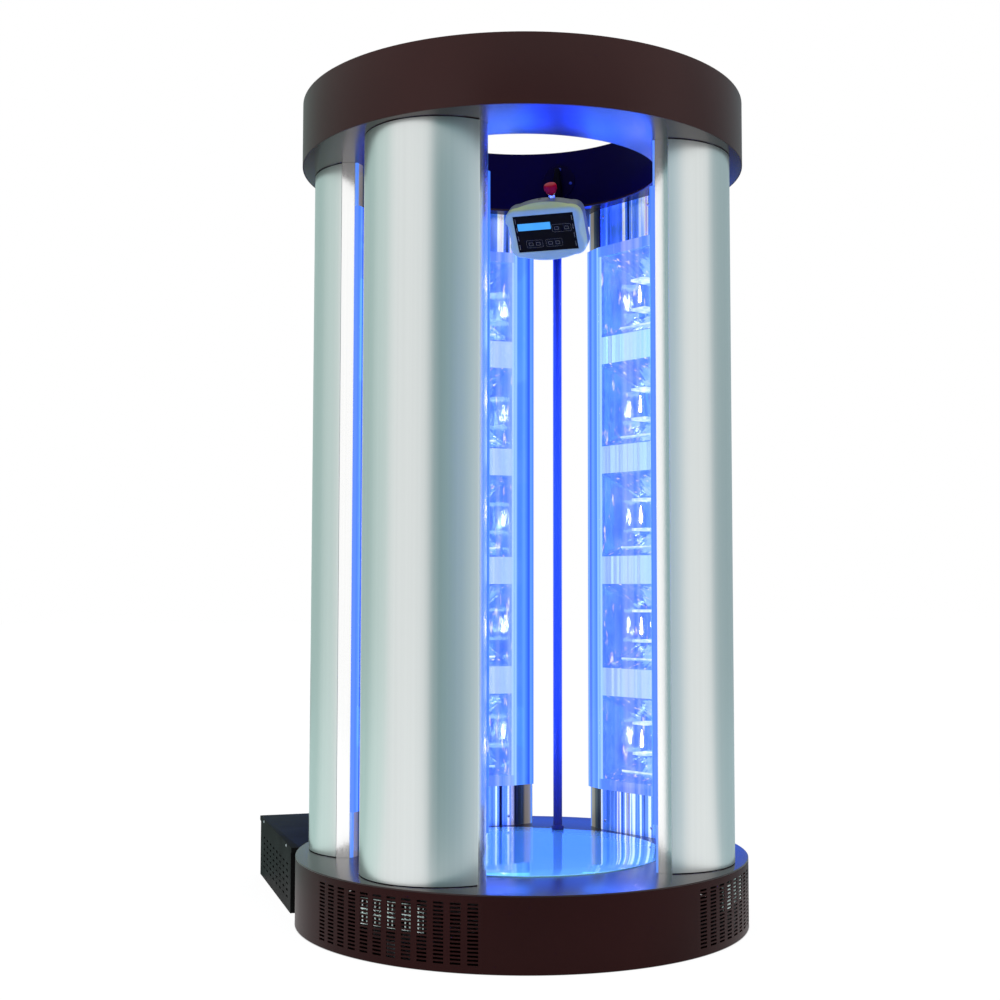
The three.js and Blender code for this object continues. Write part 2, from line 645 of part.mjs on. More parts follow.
// Star frame on levelling feet: an arm and an upright under each pillar, and a hub under the floor.
function baseFrame() {
  const hub = cylinder(HUB_RADIUS, 0, FLOOR_UNDERSIDE - SEAT_GAP, HUB_SIDES);
  const armMiddle = FOOT_HEIGHT + ARM_HEIGHT / 2;
  const uprightTop = DECK_UNDERSIDE - SEAT_GAP;
  const uprightMiddle = (FOOT_HEIGHT + uprightTop) / 2;
  const limbs = PILLARS.flatMap((name) => {
    const angle = radians(PILLAR_ANGLES[name]);
    const arm = new THREE.BoxGeometry(ARM_WIDTH, ARM_END, ARM_HEIGHT);
    arm.translate(0, -ARM_END / 2, armMiddle).rotateZ(angle);
    const upright = new THREE.BoxGeometry(UPRIGHT_WIDTH, UPRIGHT_DEPTH, uprightTop - FOOT_HEIGHT);
    upright.translate(0, -UPRIGHT_PLACE, uprightMiddle).rotateZ(angle);
    const foot = new THREE.CylinderGeometry(FOOT_RADIUS, FOOT_RADIUS, FOOT_LENGTH, FOOT_SIDES);
    foot.rotateX(Math.PI / 2).translate(0, -FOOT_PLACE, FOOT_LENGTH / 2).rotateZ(angle);
    return [solid(arm), solid(upright), solid(foot)];
  });
  return joined([hub, ...limbs]);
}

// Fan frame that stands on an arm: square housing, bore, motor and its spider.
function fanHousing() {
  const inner = FAN_PLACE - FAN_DEPTH / 2;
  const outer = FAN_PLACE + FAN_DEPTH / 2;
  const frame = block([0, -FAN_PLACE, FAN_CENTRE_HEIGHT], [FAN_SIZE, FAN_DEPTH, FAN_SIZE]);
  const bore = radialBar(FAN_BORE_RADIUS, inner - OVERCUT, outer + OVERCUT, FAN_CENTRE_HEIGHT, FAN_SIDES);
  const motorFace = inner + MOTOR_DEPTH;
  const motor = radialBar(MOTOR_RADIUS, inner, motorFace, FAN_CENTRE_HEIGHT, FAN_SIDES);
  const spider = Array.from({ length: SPIDER_COUNT }, (_, i) => {
    const reach = FAN_BORE_RADIUS + SPIDER_WIDTH / 2;
    const strut = new THREE.BoxGeometry(SPIDER_WIDTH, SPIDER_WIDTH, reach).translate(0, 0, reach / 2);
    strut.rotateY((i * 2 * Math.PI) / SPIDER_COUNT);
    return solid(strut.translate(0, -(inner + SPIDER_WIDTH / 2), FAN_CENTRE_HEIGHT));
  });
  const seat = radialBar(
    SHAFT_RADIUS + RUNNING_GAP,
    motorFace - SHAFT_LENGTH - SEAT_GAP,
    motorFace + OVERCUT,
    FAN_CENTRE_HEIGHT,
    FOOT_SIDES,
  );
  return joined([frame.subtract(bore), motor, ...spider]).subtract(seat);
}

// Impeller on its shaft: hub and pitched blades.
function fanImpeller() {
  const motorFace = FAN_PLACE - FAN_DEPTH / 2 + MOTOR_DEPTH;
  const hubInner = motorFace + SEAT_GAP;
  const hubOuter = FAN_PLACE + FAN_DEPTH / 2 - SHEET;
  const hub = radialBar(MOTOR_RADIUS, hubInner, hubOuter, FAN_CENTRE_HEIGHT, FAN_SIDES);
  const shaft = radialBar(SHAFT_RADIUS, motorFace - SHAFT_LENGTH, hubOuter, FAN_CENTRE_HEIGHT, FOOT_SIDES);
  const root = MOTOR_RADIUS - BLADE_WALL;
  const reach = FAN_BORE_RADIUS - BLADE_TIP_GAP - root;
  const blades = Array.from({ length: BLADE_COUNT }, (_, i) => {
    const blade = new THREE.BoxGeometry(BLADE_CHORD, BLADE_WALL, reach);
    blade.rotateZ(radians(BLADE_TILT)).translate(0, 0, root + reach / 2);
    blade.rotateY((i * 2 * Math.PI) / BLADE_COUNT);
    return solid(blade.translate(0, -(hubInner + hubOuter) / 2, FAN_CENTRE_HEIGHT));
  });
  return joined([hub, shaft, ...blades]);
}

function addPlinth() {
  addPiece(booth, "base_frame", baseFrame(), "steel");
  addPiece(booth, "plinth_skirt", plinthSkirt(), "brown");
  addPiece(booth, "deck_ring", deckRing(), "brown");
  addPiece(booth, "floor_plate", floorPlate(), "gloss");
  for (const side of GRILLE_SIDES) {
    const group = groupAt(grilleAngle(side));
    addPiece(group, `intake_grille_${side}`, intakeGrille(), "brown");
    addPiece(group, `fan_housing_${side}`, fanHousing(), "steel");
    addPiece(group, `fan_impeller_${side}`, fanImpeller(), "black");
  }
}

// Plan of the ballast box, drawn in from its outer faces, with a hollow side that fits the plinth.
function boxPlan(inset, frontInset = inset) {
  const left = BOX_LEFT + inset;
  const right = BOX_RIGHT - inset;
  const front = BOX_FRONT + frontInset;
  const rear = BOX_REAR - inset;
  const fit = BOOTH_RADIUS + SEAT_GAP + inset;
  const plan = new THREE.Shape();
  plan.moveTo(left, rear);
  plan.lineTo(left, front);
  plan.absarc(0, 0, fit, Math.PI - Math.asin(front / fit), Math.acos(right / fit), true);
  plan.lineTo(right, rear);
  return plan;
}

// Folded casing with rows of vents in its outer side.
function boxCasing() {
  const inset = BOX_WALL + SEAT_GAP;
  const front = inset + BOX_FRONT_RECESS;
  const top = BOX_HEIGHT - BOX_WALL - SEAT_GAP;
  const outer = prism(boxPlan(inset, front), 0, top, BOX_ARC_SIDES);
  const hollow = boxPlan(inset + BOX_WALL, front + BOX_WALL);
  const inner = prism(hollow, BOX_WALL, top + OVERCUT, BOX_ARC_SIDES);
  const middle = (BOX_FRONT + BOX_REAR) / 2;
  const through = BOX_WALL + 2 * OVERCUT;
  const vents = [];
  for (let row = 0; row < VENT_ROWS; row++) {
    const height = VENT_CENTRE_HEIGHT + (row - (VENT_ROWS - 1) / 2) * VENT_ROW_PITCH;
    for (let column = 0; column < VENT_COLUMNS; column++) {
      const place = middle + (column - (VENT_COLUMNS - 1) / 2) * VENT_COLUMN_PITCH;
      vents.push(block([BOX_LEFT + inset, place, height], [through, VENT_LENGTH, VENT_HEIGHT]));
    }
  }
  return outer.subtract(inner).subtract(joined(vents));
}

// Lid with a folded lip all round.
function boxLid() {
  const lip = BOX_HEIGHT - LID_LIP;
  const lid = prism(boxPlan(0), lip, BOX_HEIGHT, BOX_ARC_SIDES);
  const under = prism(boxPlan(BOX_WALL), lip - OVERCUT, BOX_HEIGHT - BOX_WALL, BOX_ARC_SIDES);
  return lid.subtract(under);
}

// Row of chokes on one plate along the back of the box.
function ballastBank() {
  const foot = BOX_WALL + SEAT_GAP;
  const width = CHOKE_PITCH * CHOKE_COUNT;
  const depth = CHOKE_LENGTH + 2 * COIL_OVERHANG + 2 * CHOKE_PLATE_MARGIN;
  const x = BOX_LEFT + 2 * (BOX_WALL + SEAT_GAP) + CHOKE_PLATE_MARGIN + width / 2;
  const y = BOX_REAR - 2 * (BOX_WALL + SEAT_GAP) - depth / 2;
  const plate = block([x, y, foot + CHOKE_PLATE_WALL / 2], [width, depth, CHOKE_PLATE_WALL]);
  const base = foot + CHOKE_PLATE_WALL;
  const chokes = Array.from({ length: CHOKE_COUNT }, (_, i) => {
    const place = x + (i - (CHOKE_COUNT - 1) / 2) * CHOKE_PITCH;
    const core = block(
      [place, y, base + CHOKE_HEIGHT / 2 - CHOKE_PLATE_WALL / 2],
      [CHOKE_WIDTH, CHOKE_LENGTH, CHOKE_HEIGHT + CHOKE_PLATE_WALL],
    );
    const coil = block(
      [place, y, base + CHOKE_HEIGHT / 2],
      [COIL_WIDTH, CHOKE_LENGTH + 2 * COIL_OVERHANG, COIL_HEIGHT],
    );
    return core.add(coil);
  });
  return joined([plate, ...chokes]);
}

function addBallastBox() {
  addPiece(booth, "box_casing", boxCasing(), "brown");
  addPiece(booth, "box_lid", boxLid(), "brown");
  addPiece(booth, "ballast_bank", ballastBank(), "steel");
}

// Pole with its foot flange, standing on the floor plate.
function pole() {
  const foot = FLOOR_TOP + SEAT_GAP;
  const profile = [
    [0, foot],
    [POLE_FOOT_RADIUS, foot],
    [POLE_FOOT_RADIUS, foot + POLE_FOOT_HEIGHT],
    [POLE_RADIUS, foot + POLE_FOOT_HEIGHT],
    [POLE_RADIUS, POLE_TOP - SEAT_GAP],
    [0, POLE_TOP - SEAT_GAP],
  ].map(([r, z]) => new THREE.Vector2(r, z));
  const shape = new THREE.LatheGeometry(profile, POLE_SIDES).rotateX(Math.PI / 2);
  return solid(shape.translate(0, -POLE_PLACE, 0));
}

// Round wall plate with a tapered socket that caps the pole.
function poleBracket() {
  const flat = CROWN_HOLE_RADIUS * Math.cos(Math.PI / ROUND_SIDES);
  const back = Math.sqrt(flat ** 2 - BRACKET_RADIUS ** 2) - SEAT_GAP;
  const plate = radialBar(BRACKET_RADIUS, back - BRACKET_WALL, back, BRACKET_CENTRE, POLE_SIDES);
  const cone = new THREE.CylinderGeometry(SOCKET_TIP_RADIUS, SOCKET_FOOT_RADIUS, SOCKET_HEIGHT, POLE_SIDES);
  cone.rotateX(Math.PI / 2).translate(0, -POLE_PLACE, POLE_TOP + SOCKET_HEIGHT / 2);
  return plate.add(solid(cone));
}

// Face outline of the control head: round corners, arched top and bottom.
function headOutline(inset) {
  const w = HEAD_HALF_WIDTH - inset;
  const h = HEAD_HALF_HEIGHT - inset;
  const corner = Math.max(HEAD_CORNER - inset, HEAD_WALL);
  const crest = h + 2 * HEAD_ARCH;
  const face = new THREE.Shape();
  face.moveTo(w, -h + corner);
  face.lineTo(w, h - corner);
  face.quadraticCurveTo(w, h, w - corner, h);
  face.quadraticCurveTo(0, crest, corner - w, h);
  face.quadraticCurveTo(-w, h, -w, h - corner);
  face.lineTo(-w, corner - h);
  face.quadraticCurveTo(-w, -h, corner - w, -h);
  face.quadraticCurveTo(0, -crest, w - corner, -h);
  face.quadraticCurveTo(w, -h, w, -h + corner);
  return face;
}

// The head's outline between two depths, its edges rounded off at both ends.
function headBody(low, high, bevel) {
  const options = {
    depth: high - low - 2 * bevel,
    bevelSize: bevel,
    bevelOffset: -bevel,
    bevelThickness: bevel,
    bevelSegments: HEAD_BEVEL_STEPS,
    curveSegments: HEAD_CURVE_SIDES,
  };
  return solid(new THREE.ExtrudeGeometry(headOutline(0), options).translate(0, 0, low + bevel));
}

// Place of the control head: its own +Z looks out of the face, and its own +Y runs up the face.
const poleGroup = groupAt(POLE_ANGLE);
const headGroup = new THREE.Group();
headGroup.position.set(0, -HEAD_PLACE, HEAD_CENTRE_HEIGHT);
headGroup.rotation.set(Math.PI / 2 + radians(HEAD_TILT), 0, Math.PI, "ZYX");
headGroup.updateMatrix();
poleGroup.add(headGroup);

// Height of the casing's top edge at the stop button.
const STOP_LEVEL = HEAD_TOP_EDGE - HEAD_ARCH * (STOP_PLACE / (HEAD_HALF_WIDTH - HEAD_CORNER)) ** 2;

// A piece turned about the axis of the stop button, from heights above the casing.
function stopTurned(profile) {
  const points = profile.map(([r, y]) => new THREE.Vector2(r, y));
  const shape = new THREE.LatheGeometry(points, STOP_SIDES);
  return solid(shape.translate(STOP_PLACE, STOP_LEVEL, -STOP_BEHIND_FACE));
}

// Rear half of the head: hollow moulding with a neck and a clamp ring round the pole.
function headBack() {
  const seam = -HEAD_FRONT_DEPTH - SEAT_GAP;
  const keep = block([0, 0, seam - HEAD_REACH / 2], [HEAD_REACH, HEAD_REACH, HEAD_REACH]);
  const rear = headBody(-HEAD_DEPTH, 0, HEAD_BACK_BEVEL).intersect(keep);
  const cavityInset = HEAD_BACK_BEVEL + HEAD_WALL / 2;
  const cavity = prism(headOutline(cavityInset), HEAD_WALL - HEAD_DEPTH, seam + OVERCUT, HEAD_CURVE_SIDES);
  const toHead = headGroup.matrix.clone().invert();
  const level = HEAD_CENTRE_HEIGHT + NECK_RISE;
  const ringRadius = POLE_RADIUS + RUNNING_GAP + CLAMP_WALL;
  const ring = new THREE.CylinderGeometry(ringRadius, ringRadius, NECK_HEIGHT, POLE_SIDES);
  ring.rotateX(Math.PI / 2).translate(0, -POLE_PLACE, level).applyMatrix4(toHead);
  const reach = POLE_PLACE - HEAD_PLACE - HEAD_DEPTH / 2;
  const neck = new THREE.BoxGeometry(NECK_WIDTH, reach, NECK_HEIGHT);
  neck.translate(0, reach / 2 - POLE_PLACE, level).applyMatrix4(toHead);
  const boreRadius = POLE_RADIUS + RUNNING_GAP;
  const bore = new THREE.CylinderGeometry(boreRadius, boreRadius, 2 * NECK_HEIGHT, POLE_SIDES);
  bore.rotateX(Math.PI / 2).translate(0, -POLE_PLACE, level).applyMatrix4(toHead);
  const stopBore = stopTurned([
    [0, -2 * STOP_COLLAR_SUNK],
    [STOP_COLLAR_RADIUS + SEAT_GAP, -2 * STOP_COLLAR_SUNK],
    [STOP_COLLAR_RADIUS + SEAT_GAP, STOP_COLLAR_RISE],
    [0, STOP_COLLAR_RISE],
  ]);
  const cuts = [cavity, solid(bore), stopBore];
  return joined([rear, solid(ring), solid(neck)]).subtract(joined(cuts));
}

// A plain plate in the plane of the face.
function facePlate([x, y], width, height, low, high) {
  return block([x, y, (low + high) / 2], [width, height, high - low]);
}

const KEYPAD_FRONT = -KEYPAD_DROP;
const KEYPAD_BACK = KEYPAD_FRONT - KEYPAD_WALL;

// Front half of the head: rounded frame with a stepped pocket for the keypad.
function headFront() {
  const keep = block([0, 0, HEAD_REACH / 2 - HEAD_FRONT_DEPTH], [HEAD_REACH, HEAD_REACH, HEAD_REACH]);
  const frame = headBody(-HEAD_DEPTH, 0, HEAD_FRONT_BEVEL).intersect(keep);
  const seat = KEYPAD_BACK - SEAT_GAP;
  const gap = 2 * SEAT_GAP;
  const pocket = facePlate([0, 0], KEYPAD_WIDTH + gap, KEYPAD_HEIGHT + gap, seat, OVERCUT);
  const ledge = 2 * KEYPAD_LEDGE;
  const floor = seat - KEY_WELL_DEPTH;
  const well = facePlate([0, 0], KEYPAD_WIDTH - ledge, KEYPAD_HEIGHT - ledge, floor, OVERCUT);
  return frame.subtract(pocket).subtract(well);
}

// Keypad plate with an opening for the display and for each key.
function keypadPanel() {
  const plate = facePlate([0, 0], KEYPAD_WIDTH, KEYPAD_HEIGHT, KEYPAD_BACK, KEYPAD_FRONT);
  const gap = 2 * SEAT_GAP;
  const window = [DISPLAY_WIDTH + gap, DISPLAY_HEIGHT + gap];
  const openings = Object.values(KEY_PLACES).map((place) =>
    facePlate(place, KEY_WIDTH + SLOT_GAP, KEY_HEIGHT + SLOT_GAP, KEYPAD_BACK - OVERCUT, OVERCUT),
  );
  openings.push(facePlate(DISPLAY_PLACE, ...window, KEYPAD_BACK - OVERCUT, OVERCUT));
  return plate.subtract(joined(openings));
}

// Key cap with a flange that holds it under the keypad plate.
function key(place) {
  const top = KEYPAD_BACK - SEAT_GAP;
  const cap = facePlate(place, KEY_WIDTH, KEY_HEIGHT, top - KEY_FLANGE_WALL, KEYPAD_FRONT + KEY_PROUD);
  const width = KEY_WIDTH + 2 * KEY_FLANGE;
  const height = KEY_HEIGHT + 2 * KEY_FLANGE;
  return cap.add(facePlate(place, width, height, top - KEY_FLANGE_WALL, top));
}

function stopCollar() {
  const bore = STOP_STEM_RADIUS + RUNNING_GAP;
  const profile = [
    [bore, -STOP_COLLAR_SUNK],
    [STOP_COLLAR_RADIUS, -STOP_COLLAR_SUNK],
    [STOP_COLLAR_RADIUS, STOP_COLLAR_RISE],
    [bore, STOP_COLLAR_RISE],
  ];
  return stopTurned([...profile, profile[0]]);
}

// Mushroom button: stem, neck and domed cap.
function stopButton() {
  const neck = STOP_COLLAR_RISE + STOP_TRAVEL + SEAT_GAP;
  const cap = neck + STOP_NECK_HEIGHT;
  const crest = cap + STOP_CAP_HEIGHT;
  return stopTurned([
    [0, STOP_TRAVEL - STOP_COLLAR_SUNK],
    [STOP_STEM_RADIUS, STOP_TRAVEL - STOP_COLLAR_SUNK],
    [STOP_STEM_RADIUS, neck],
    [STOP_NECK_RADIUS, neck],
    [STOP_NECK_RADIUS, cap],
    [STOP_CAP_RADIUS, cap],
    [STOP_CAP_RADIUS, crest - STOP_SHOULDER],
    [STOP_CROWN_RADIUS, crest - STOP_CROWN],
    [0, crest],
  ]);
}

function addPoleAndHead() {
  addPiece(poleGroup, "pole", pole(), "steel");
  addPiece(poleGroup, "pole_bracket", poleBracket(), "black");
  addPiece(headGroup, "head_back", headBack(), "casing");
  addPiece(headGroup, "head_front", headFront(), "casing");
  addPiece(headGroup, "keypad_panel", keypadPanel(), "black");
  const window = [DISPLAY_WIDTH, DISPLAY_HEIGHT];
  const display = facePlate(DISPLAY_PLACE, ...window, KEYPAD_BACK, KEYPAD_FRONT);
  addPiece(headGroup, "display_window", display, "display");
  for (const [name, place] of Object.entries(KEY_PLACES)) addPiece(headGroup, name, key(place), "black");
  addPiece(headGroup, "stop_collar", stopCollar(), "bright");
  addPiece(headGroup, "stop_button", stopButton(), "red");
}

PILLARS.forEach(addPillar);
addCrown();
addPlinth();
addBallastBox();
addPoleAndHead();

export default booth;
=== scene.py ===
"""Looks of an upright tanning booth: smooth shells, lit lamp windows, slotted plinth and control head.

Every length is in metres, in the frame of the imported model: the origin is the centre of the plinth on the
floor, +Z is up, and the entrance faces -Y.
"""

import logging
import math
from dataclasses import dataclass
from enum import Enum
from typing import Any, Sequence, Union

import bmesh
import bpy
import numpy as np
from mathutils import Matrix, Vector


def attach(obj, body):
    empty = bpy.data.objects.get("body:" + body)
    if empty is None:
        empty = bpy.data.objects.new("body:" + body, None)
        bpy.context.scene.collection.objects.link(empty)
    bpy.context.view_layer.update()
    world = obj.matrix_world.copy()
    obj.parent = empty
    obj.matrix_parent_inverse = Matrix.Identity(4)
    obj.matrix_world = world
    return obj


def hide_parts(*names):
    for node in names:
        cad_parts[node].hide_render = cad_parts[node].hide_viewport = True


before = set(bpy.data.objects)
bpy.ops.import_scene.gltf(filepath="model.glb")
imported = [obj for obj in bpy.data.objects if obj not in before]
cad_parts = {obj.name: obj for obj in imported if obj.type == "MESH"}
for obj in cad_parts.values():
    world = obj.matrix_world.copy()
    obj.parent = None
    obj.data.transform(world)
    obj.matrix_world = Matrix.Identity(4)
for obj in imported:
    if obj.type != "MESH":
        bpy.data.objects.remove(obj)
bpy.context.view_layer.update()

log = logging.getLogger("booth")

WELD = 2e-6
SHARP_ANGLE = math.radians(38)
BEVEL_ANGLE = math.radians(40)
CORNER_SHARE = 0.45
LEAST_STEP = 1e-7
MAIN_BODY = "booth"

Colour = tuple[float, float, float]
Lengths = Union[float, np.ndarray]
Socket = bpy.types.NodeSocket


class Slot(Enum):
    """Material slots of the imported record."""

    SHELL = "silver_shell"
    PROFILE = "bright_profile"
    MIRROR = "mirror_sheet"
    LAMP = "lamp_glass"
    ACRYLIC = "clear_acrylic"
    BROWN = "brown_paint"
    FLOOR = "gloss_floor"
    FAN_FRAME = "fan_frame"
    POLE = "pole_paint"
    BLACK = "black_plastic"
    HEAD = "head_plastic"
    DISPLAY = "display_glass"
    KEY = "key_plastic"
    COLLAR = "collar_metal"
    STOP = "stop_red"


class Edge(Enum):
    """Which edge of a pillar a side profile sits on."""

    LEFT = -1
    RIGHT = 1


@dataclass(frozen=True)
class BoothSizes:
    """Sizes that several sub-assemblies share."""

    radius: float = 0.630
    deck_top: float = 0.187
    floor_top: float = 0.189
    soffit: float = 2.114
    crown_top: float = 2.297
    hole_radius: float = 0.389
    floor_radius: float = 0.395
    pillar_half_width: float = 0.184
    cover_flat: float = 0.114
    cover_low: float = 0.310
    cover_high: float = 1.990
    pole_angle: float = 144.4
    pole_place: float = 0.367
    pole_radius: float = 0.0135
    pole_top: float = 2.142
    seat_gap: float = 0.0003
    sheet: float = 0.003
    round_sides: int = 192


BOOTH = BoothSizes()
PILLARS = {"front_right": 50.4, "rear_right": 113.4, "rear": 180.0, "rear_left": 246.6, "front_left": 309.6}


def pillar_gaps() -> list[float]:
    """Works out the middles of the gaps between neighbouring pillars, apart from the entrance.

    Returns:
        Degrees from the entrance, towards +X.
    """
    stations = list(PILLARS.values())
    return [(first + second) / 2 for first, second in zip(stations, stations[1:])]


def fillet(corners: Sequence, radius: Union[float, Sequence[float]], steps: int,
           closed: bool = False) -> np.ndarray:
    """Rounds off the corners of a line.

    Each corner B gives way to the curve (1-t)^2 A + 2t(1-t) B + t^2 C, where A and C lie a radius before and
    after it, or a fixed share of the shorter neighbouring edge where that is less.

    Args:
        corners: Points of the line, as rows of two.
        radius: One radius for all corners, or one for each.
        steps: Steps of each curve.
        closed: Whether the line closes on itself.

    Returns:
        Points of the rounded line, as rows of two.
    """
    points = np.asarray(corners, float)
    before = np.roll(points, 1, axis=0) - points
    after = np.roll(points, -1, axis=0) - points
    length_before = np.linalg.norm(before, axis=1)
    length_after = np.linalg.norm(after, axis=1)
    reach = np.minimum(radius, CORNER_SHARE * np.minimum(length_before, length_after))
    start = points + before * (reach / length_before)[:, None]
    end = points + after * (reach / length_after)[:, None]
    t = np.linspace(0, 1, steps + 1)[None, :, None]
    curve = (1 - t) ** 2 * start[:, None] + 2 * t * (1 - t) * points[:, None] + t**2 * end[:, None]
    if closed:
        line = curve.reshape(-1, 2)
    else:
        line = np.vstack([points[:1], curve[1:-1].reshape(-1, 2), points[-1:]])
    moved = np.linalg.norm(np.diff(line, axis=0), axis=1) > LEAST_STEP
    return line[np.concatenate([[True], moved])]


def offset(line: np.ndarray, distance: float, closed: bool = False) -> np.ndarray:
    """Moves a line sideways: each point goes along the left normal of the chord through its neighbours.

    Args:
        line: Points as rows of two.
        distance: How far to move, to the left of the line's direction.
        closed: Whether the line closes on itself.

    Returns:
        The moved points.
    """
    if closed:
        chord = np.roll(line, -1, axis=0) - np.roll(line, 1, axis=0)
    else:
        chord = np.gradient(line, axis=0)
    chord = chord / np.linalg.norm(chord, axis=1, keepdims=True)
    return line + distance * np.stack([-chord[:, 1], chord[:, 0]], axis=1)


def resample(line: np.ndarray, count: int) -> np.ndarray:
    """Spreads a number of points evenly along a line, by its length from the start.

    Args:
        line: Points as rows of two.
        count: How many points to return.

    Returns:
        The spread points.
    """
    run = np.concatenate([[0.0], np.cumsum(np.linalg.norm(np.diff(line, axis=0), axis=1))])
    at = np.linspace(0, run[-1], count)
    return np.stack([np.interp(at, run, line[:, 0]), np.interp(at, run, line[:, 1])], axis=1)


def mirrored(half: Sequence) -> np.ndarray:
    """Completes the left half of a section, given as (across, out) rows, by its mirror image."""
    points = np.asarray(half, float)
    return np.vstack([points, points[::-1] * (-1, 1)])


def centred(count: int, pitch: float) -> np.ndarray:
    """Returns places a pitch apart, centred on nought."""
    return (np.arange(count) - (count - 1) / 2) * pitch


def both_ends(middles: np.ndarray, length: float) -> np.ndarray:
    """Returns the ends of stretches of one length, in order, by their middles."""
    return (middles[:, None] + np.array([-0.5, 0.5]) * length).ravel()


def stand(name: str, data: bpy.types.ID) -> bpy.types.Object:
    """Puts an object into the scene.

    Args:
        name: Its name.
        data: Its mesh, light or camera.

    Returns:
        The new object.
    """
    item = bpy.data.objects.new(name, data)
    bpy.context.scene.collection.objects.link(item)
    return item


def grid_quads(rows: int, columns: int, close_rows: bool, close_columns: bool) -> np.ndarray:
    """Numbers the corners of a grid's quads: row times columns plus column, at each quad's four corners.

    Args:
        rows: Rows of points.
        columns: Columns of points.
        close_rows: Whether the last row joins the first.
        close_columns: Whether the last column joins the first.

    Returns:
        Corner numbers, shaped (rows of quads, columns of quads, 4).
    """
    r = np.arange(rows if close_rows else rows - 1)
    c = np.arange(columns if close_columns else columns - 1)
    r, c = np.meshgrid(r, c, indexing="ij")
    below, beside = (r + 1) % rows, (c + 1) % columns
    corners = [r * columns + c, below * columns + c, below * columns + beside, r * columns + beside]
    return np.stack(corners, axis=-1)


class Surface:
    """The points and faces of one piece, put together patch by patch."""

    def __init__(self) -> None:
        """Starts with nothing."""
        self.points: list[np.ndarray] = []
        self.quads: list[np.ndarray] = []
        self.polygons: list[np.ndarray] = []
        self.count = 0

    def _take(self, points: np.ndarray) -> int:
        """Keeps points.

        Args:
            points: Any array with a last dimension of three.

        Returns:
            The number of the first point.
        """
        first = self.count
        flat = points.reshape(-1, 3)
        self.points.append(flat)
        self.count += len(flat)
        return first

    def patch(self, points: np.ndarray, close_rows: bool = False, close_columns: bool = False) -> "Surface":
        """Adds a grid of quads.

        Args:
            points: Grid shaped (rows, columns, 3).
            close_rows: Whether the last row joins the first.
            close_columns: Whether the last column joins the first.

        Returns:
            This surface.
        """
        quads = grid_quads(points.shape[0], points.shape[1], close_rows, close_columns)
        return self.faces(points, quads.reshape(-1, 4))

    def faces(self, points: np.ndarray, quads: np.ndarray) -> "Surface":
        """Adds points with quads that number them from nought.

        Args:
            points: Any array with a last dimension of three.
            quads: Corner numbers, as rows of four.

        Returns:
            This surface.
        """
        self.quads.append(quads + self._take(points))
        return self

    def polygon(self, points: np.ndarray) -> "Surface":
        """Adds one flat face.

        Args:
            points: The loop of points round it, as rows of three.

        Returns:
            This surface.
        """
        self.polygons.append(np.arange(len(points)) + self._take(points))
        return self

    def _faces(self, number: np.ndarray) -> list:
        """Lists the faces by welded point numbers; a quad with one side of no length becomes a triangle.

        Args:
            number: The welded number of each point.

        Returns:
            Lists of three or more point numbers.
        """
        quads = number[np.vstack(self.quads)]
        flat = quads == np.roll(quads, -1, axis=1)
        whole = ~flat.any(axis=1) & (quads[:, 0] != quads[:, 2]) & (quads[:, 1] != quads[:, 3])
        faces = quads[whole].tolist()
        for side in range(4):
            only = flat[:, side] & (flat.sum(axis=1) == 1)
            faces += np.delete(quads[only], side, axis=1).tolist()
        return faces + [number[loop].tolist() for loop in self.polygons]

    def build(self, name: str, finish: "Finish", slot: Slot, replaces: Sequence[str] = (),
              body: str = MAIN_BODY, turn: bool = True) -> bpy.types.Object:
        """Makes the piece: welds the patches, points the faces outwards and dresses the mesh.

        Args:
            name: Name of the piece.
            finish: What it is made of.
            slot: The record's material slot that it belongs to; not used.
            replaces: CAD nodes that it stands for.
            body: CAD body that it rides on.
            turn: Whether to work out which way the faces point.

        Returns:
            The new object.
        """
        points = np.vstack(self.points)
        key = np.round(points / WELD).astype(np.int64)
        _, first, number = np.unique(key, axis=0, return_index=True, return_inverse=True)
        mesh = bpy.data.meshes.new(name)
        mesh.from_pydata(points[first].tolist(), [], self._faces(number.reshape(-1)))
        if turn:
            work = bmesh.new()
            work.from_mesh(mesh)
            bmesh.ops.recalc_face_normals(work, faces=work.faces)
            work.to_mesh(mesh)
            work.free()
        mesh.polygons.foreach_set("use_smooth", np.ones(len(mesh.polygons), bool))
        mesh.set_sharp_from_angle(angle=SHARP_ANGLE)
        mesh.materials.append(finish.material())
        piece = stand(name, mesh)
        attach(piece, body)
        if replaces:
            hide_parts(*replaces)
        log.info("%s: %d points, %d faces", name, len(mesh.vertices), len(mesh.polygons))
        return piece


def thicken(piece: bpy.types.Object, thickness: float) -> None:
    """Gives an open sheet its wall.

    Args:
        piece: The sheet.
        thickness: Thickness of the wall, all of it on the side that the faces point to.
    """
    wall = piece.modifiers.new("wall", "SOLIDIFY")
    wall.thickness = thickness
    wall.offset = 1.0
    wall.use_even_offset = True


def round_edges(piece: bpy.types.Object, width: float) -> None:
    """Rounds the sharp edges of a piece.

    Args:
        piece: The piece.
        width: How far the rounding reaches from each edge.
    """
    edge = piece.modifiers.new("edges", "BEVEL")
    edge.width = width
    edge.segments = 2
    edge.limit_method = "ANGLE"
    edge.angle_limit = BEVEL_ANGLE
    edge.harden_normals = False


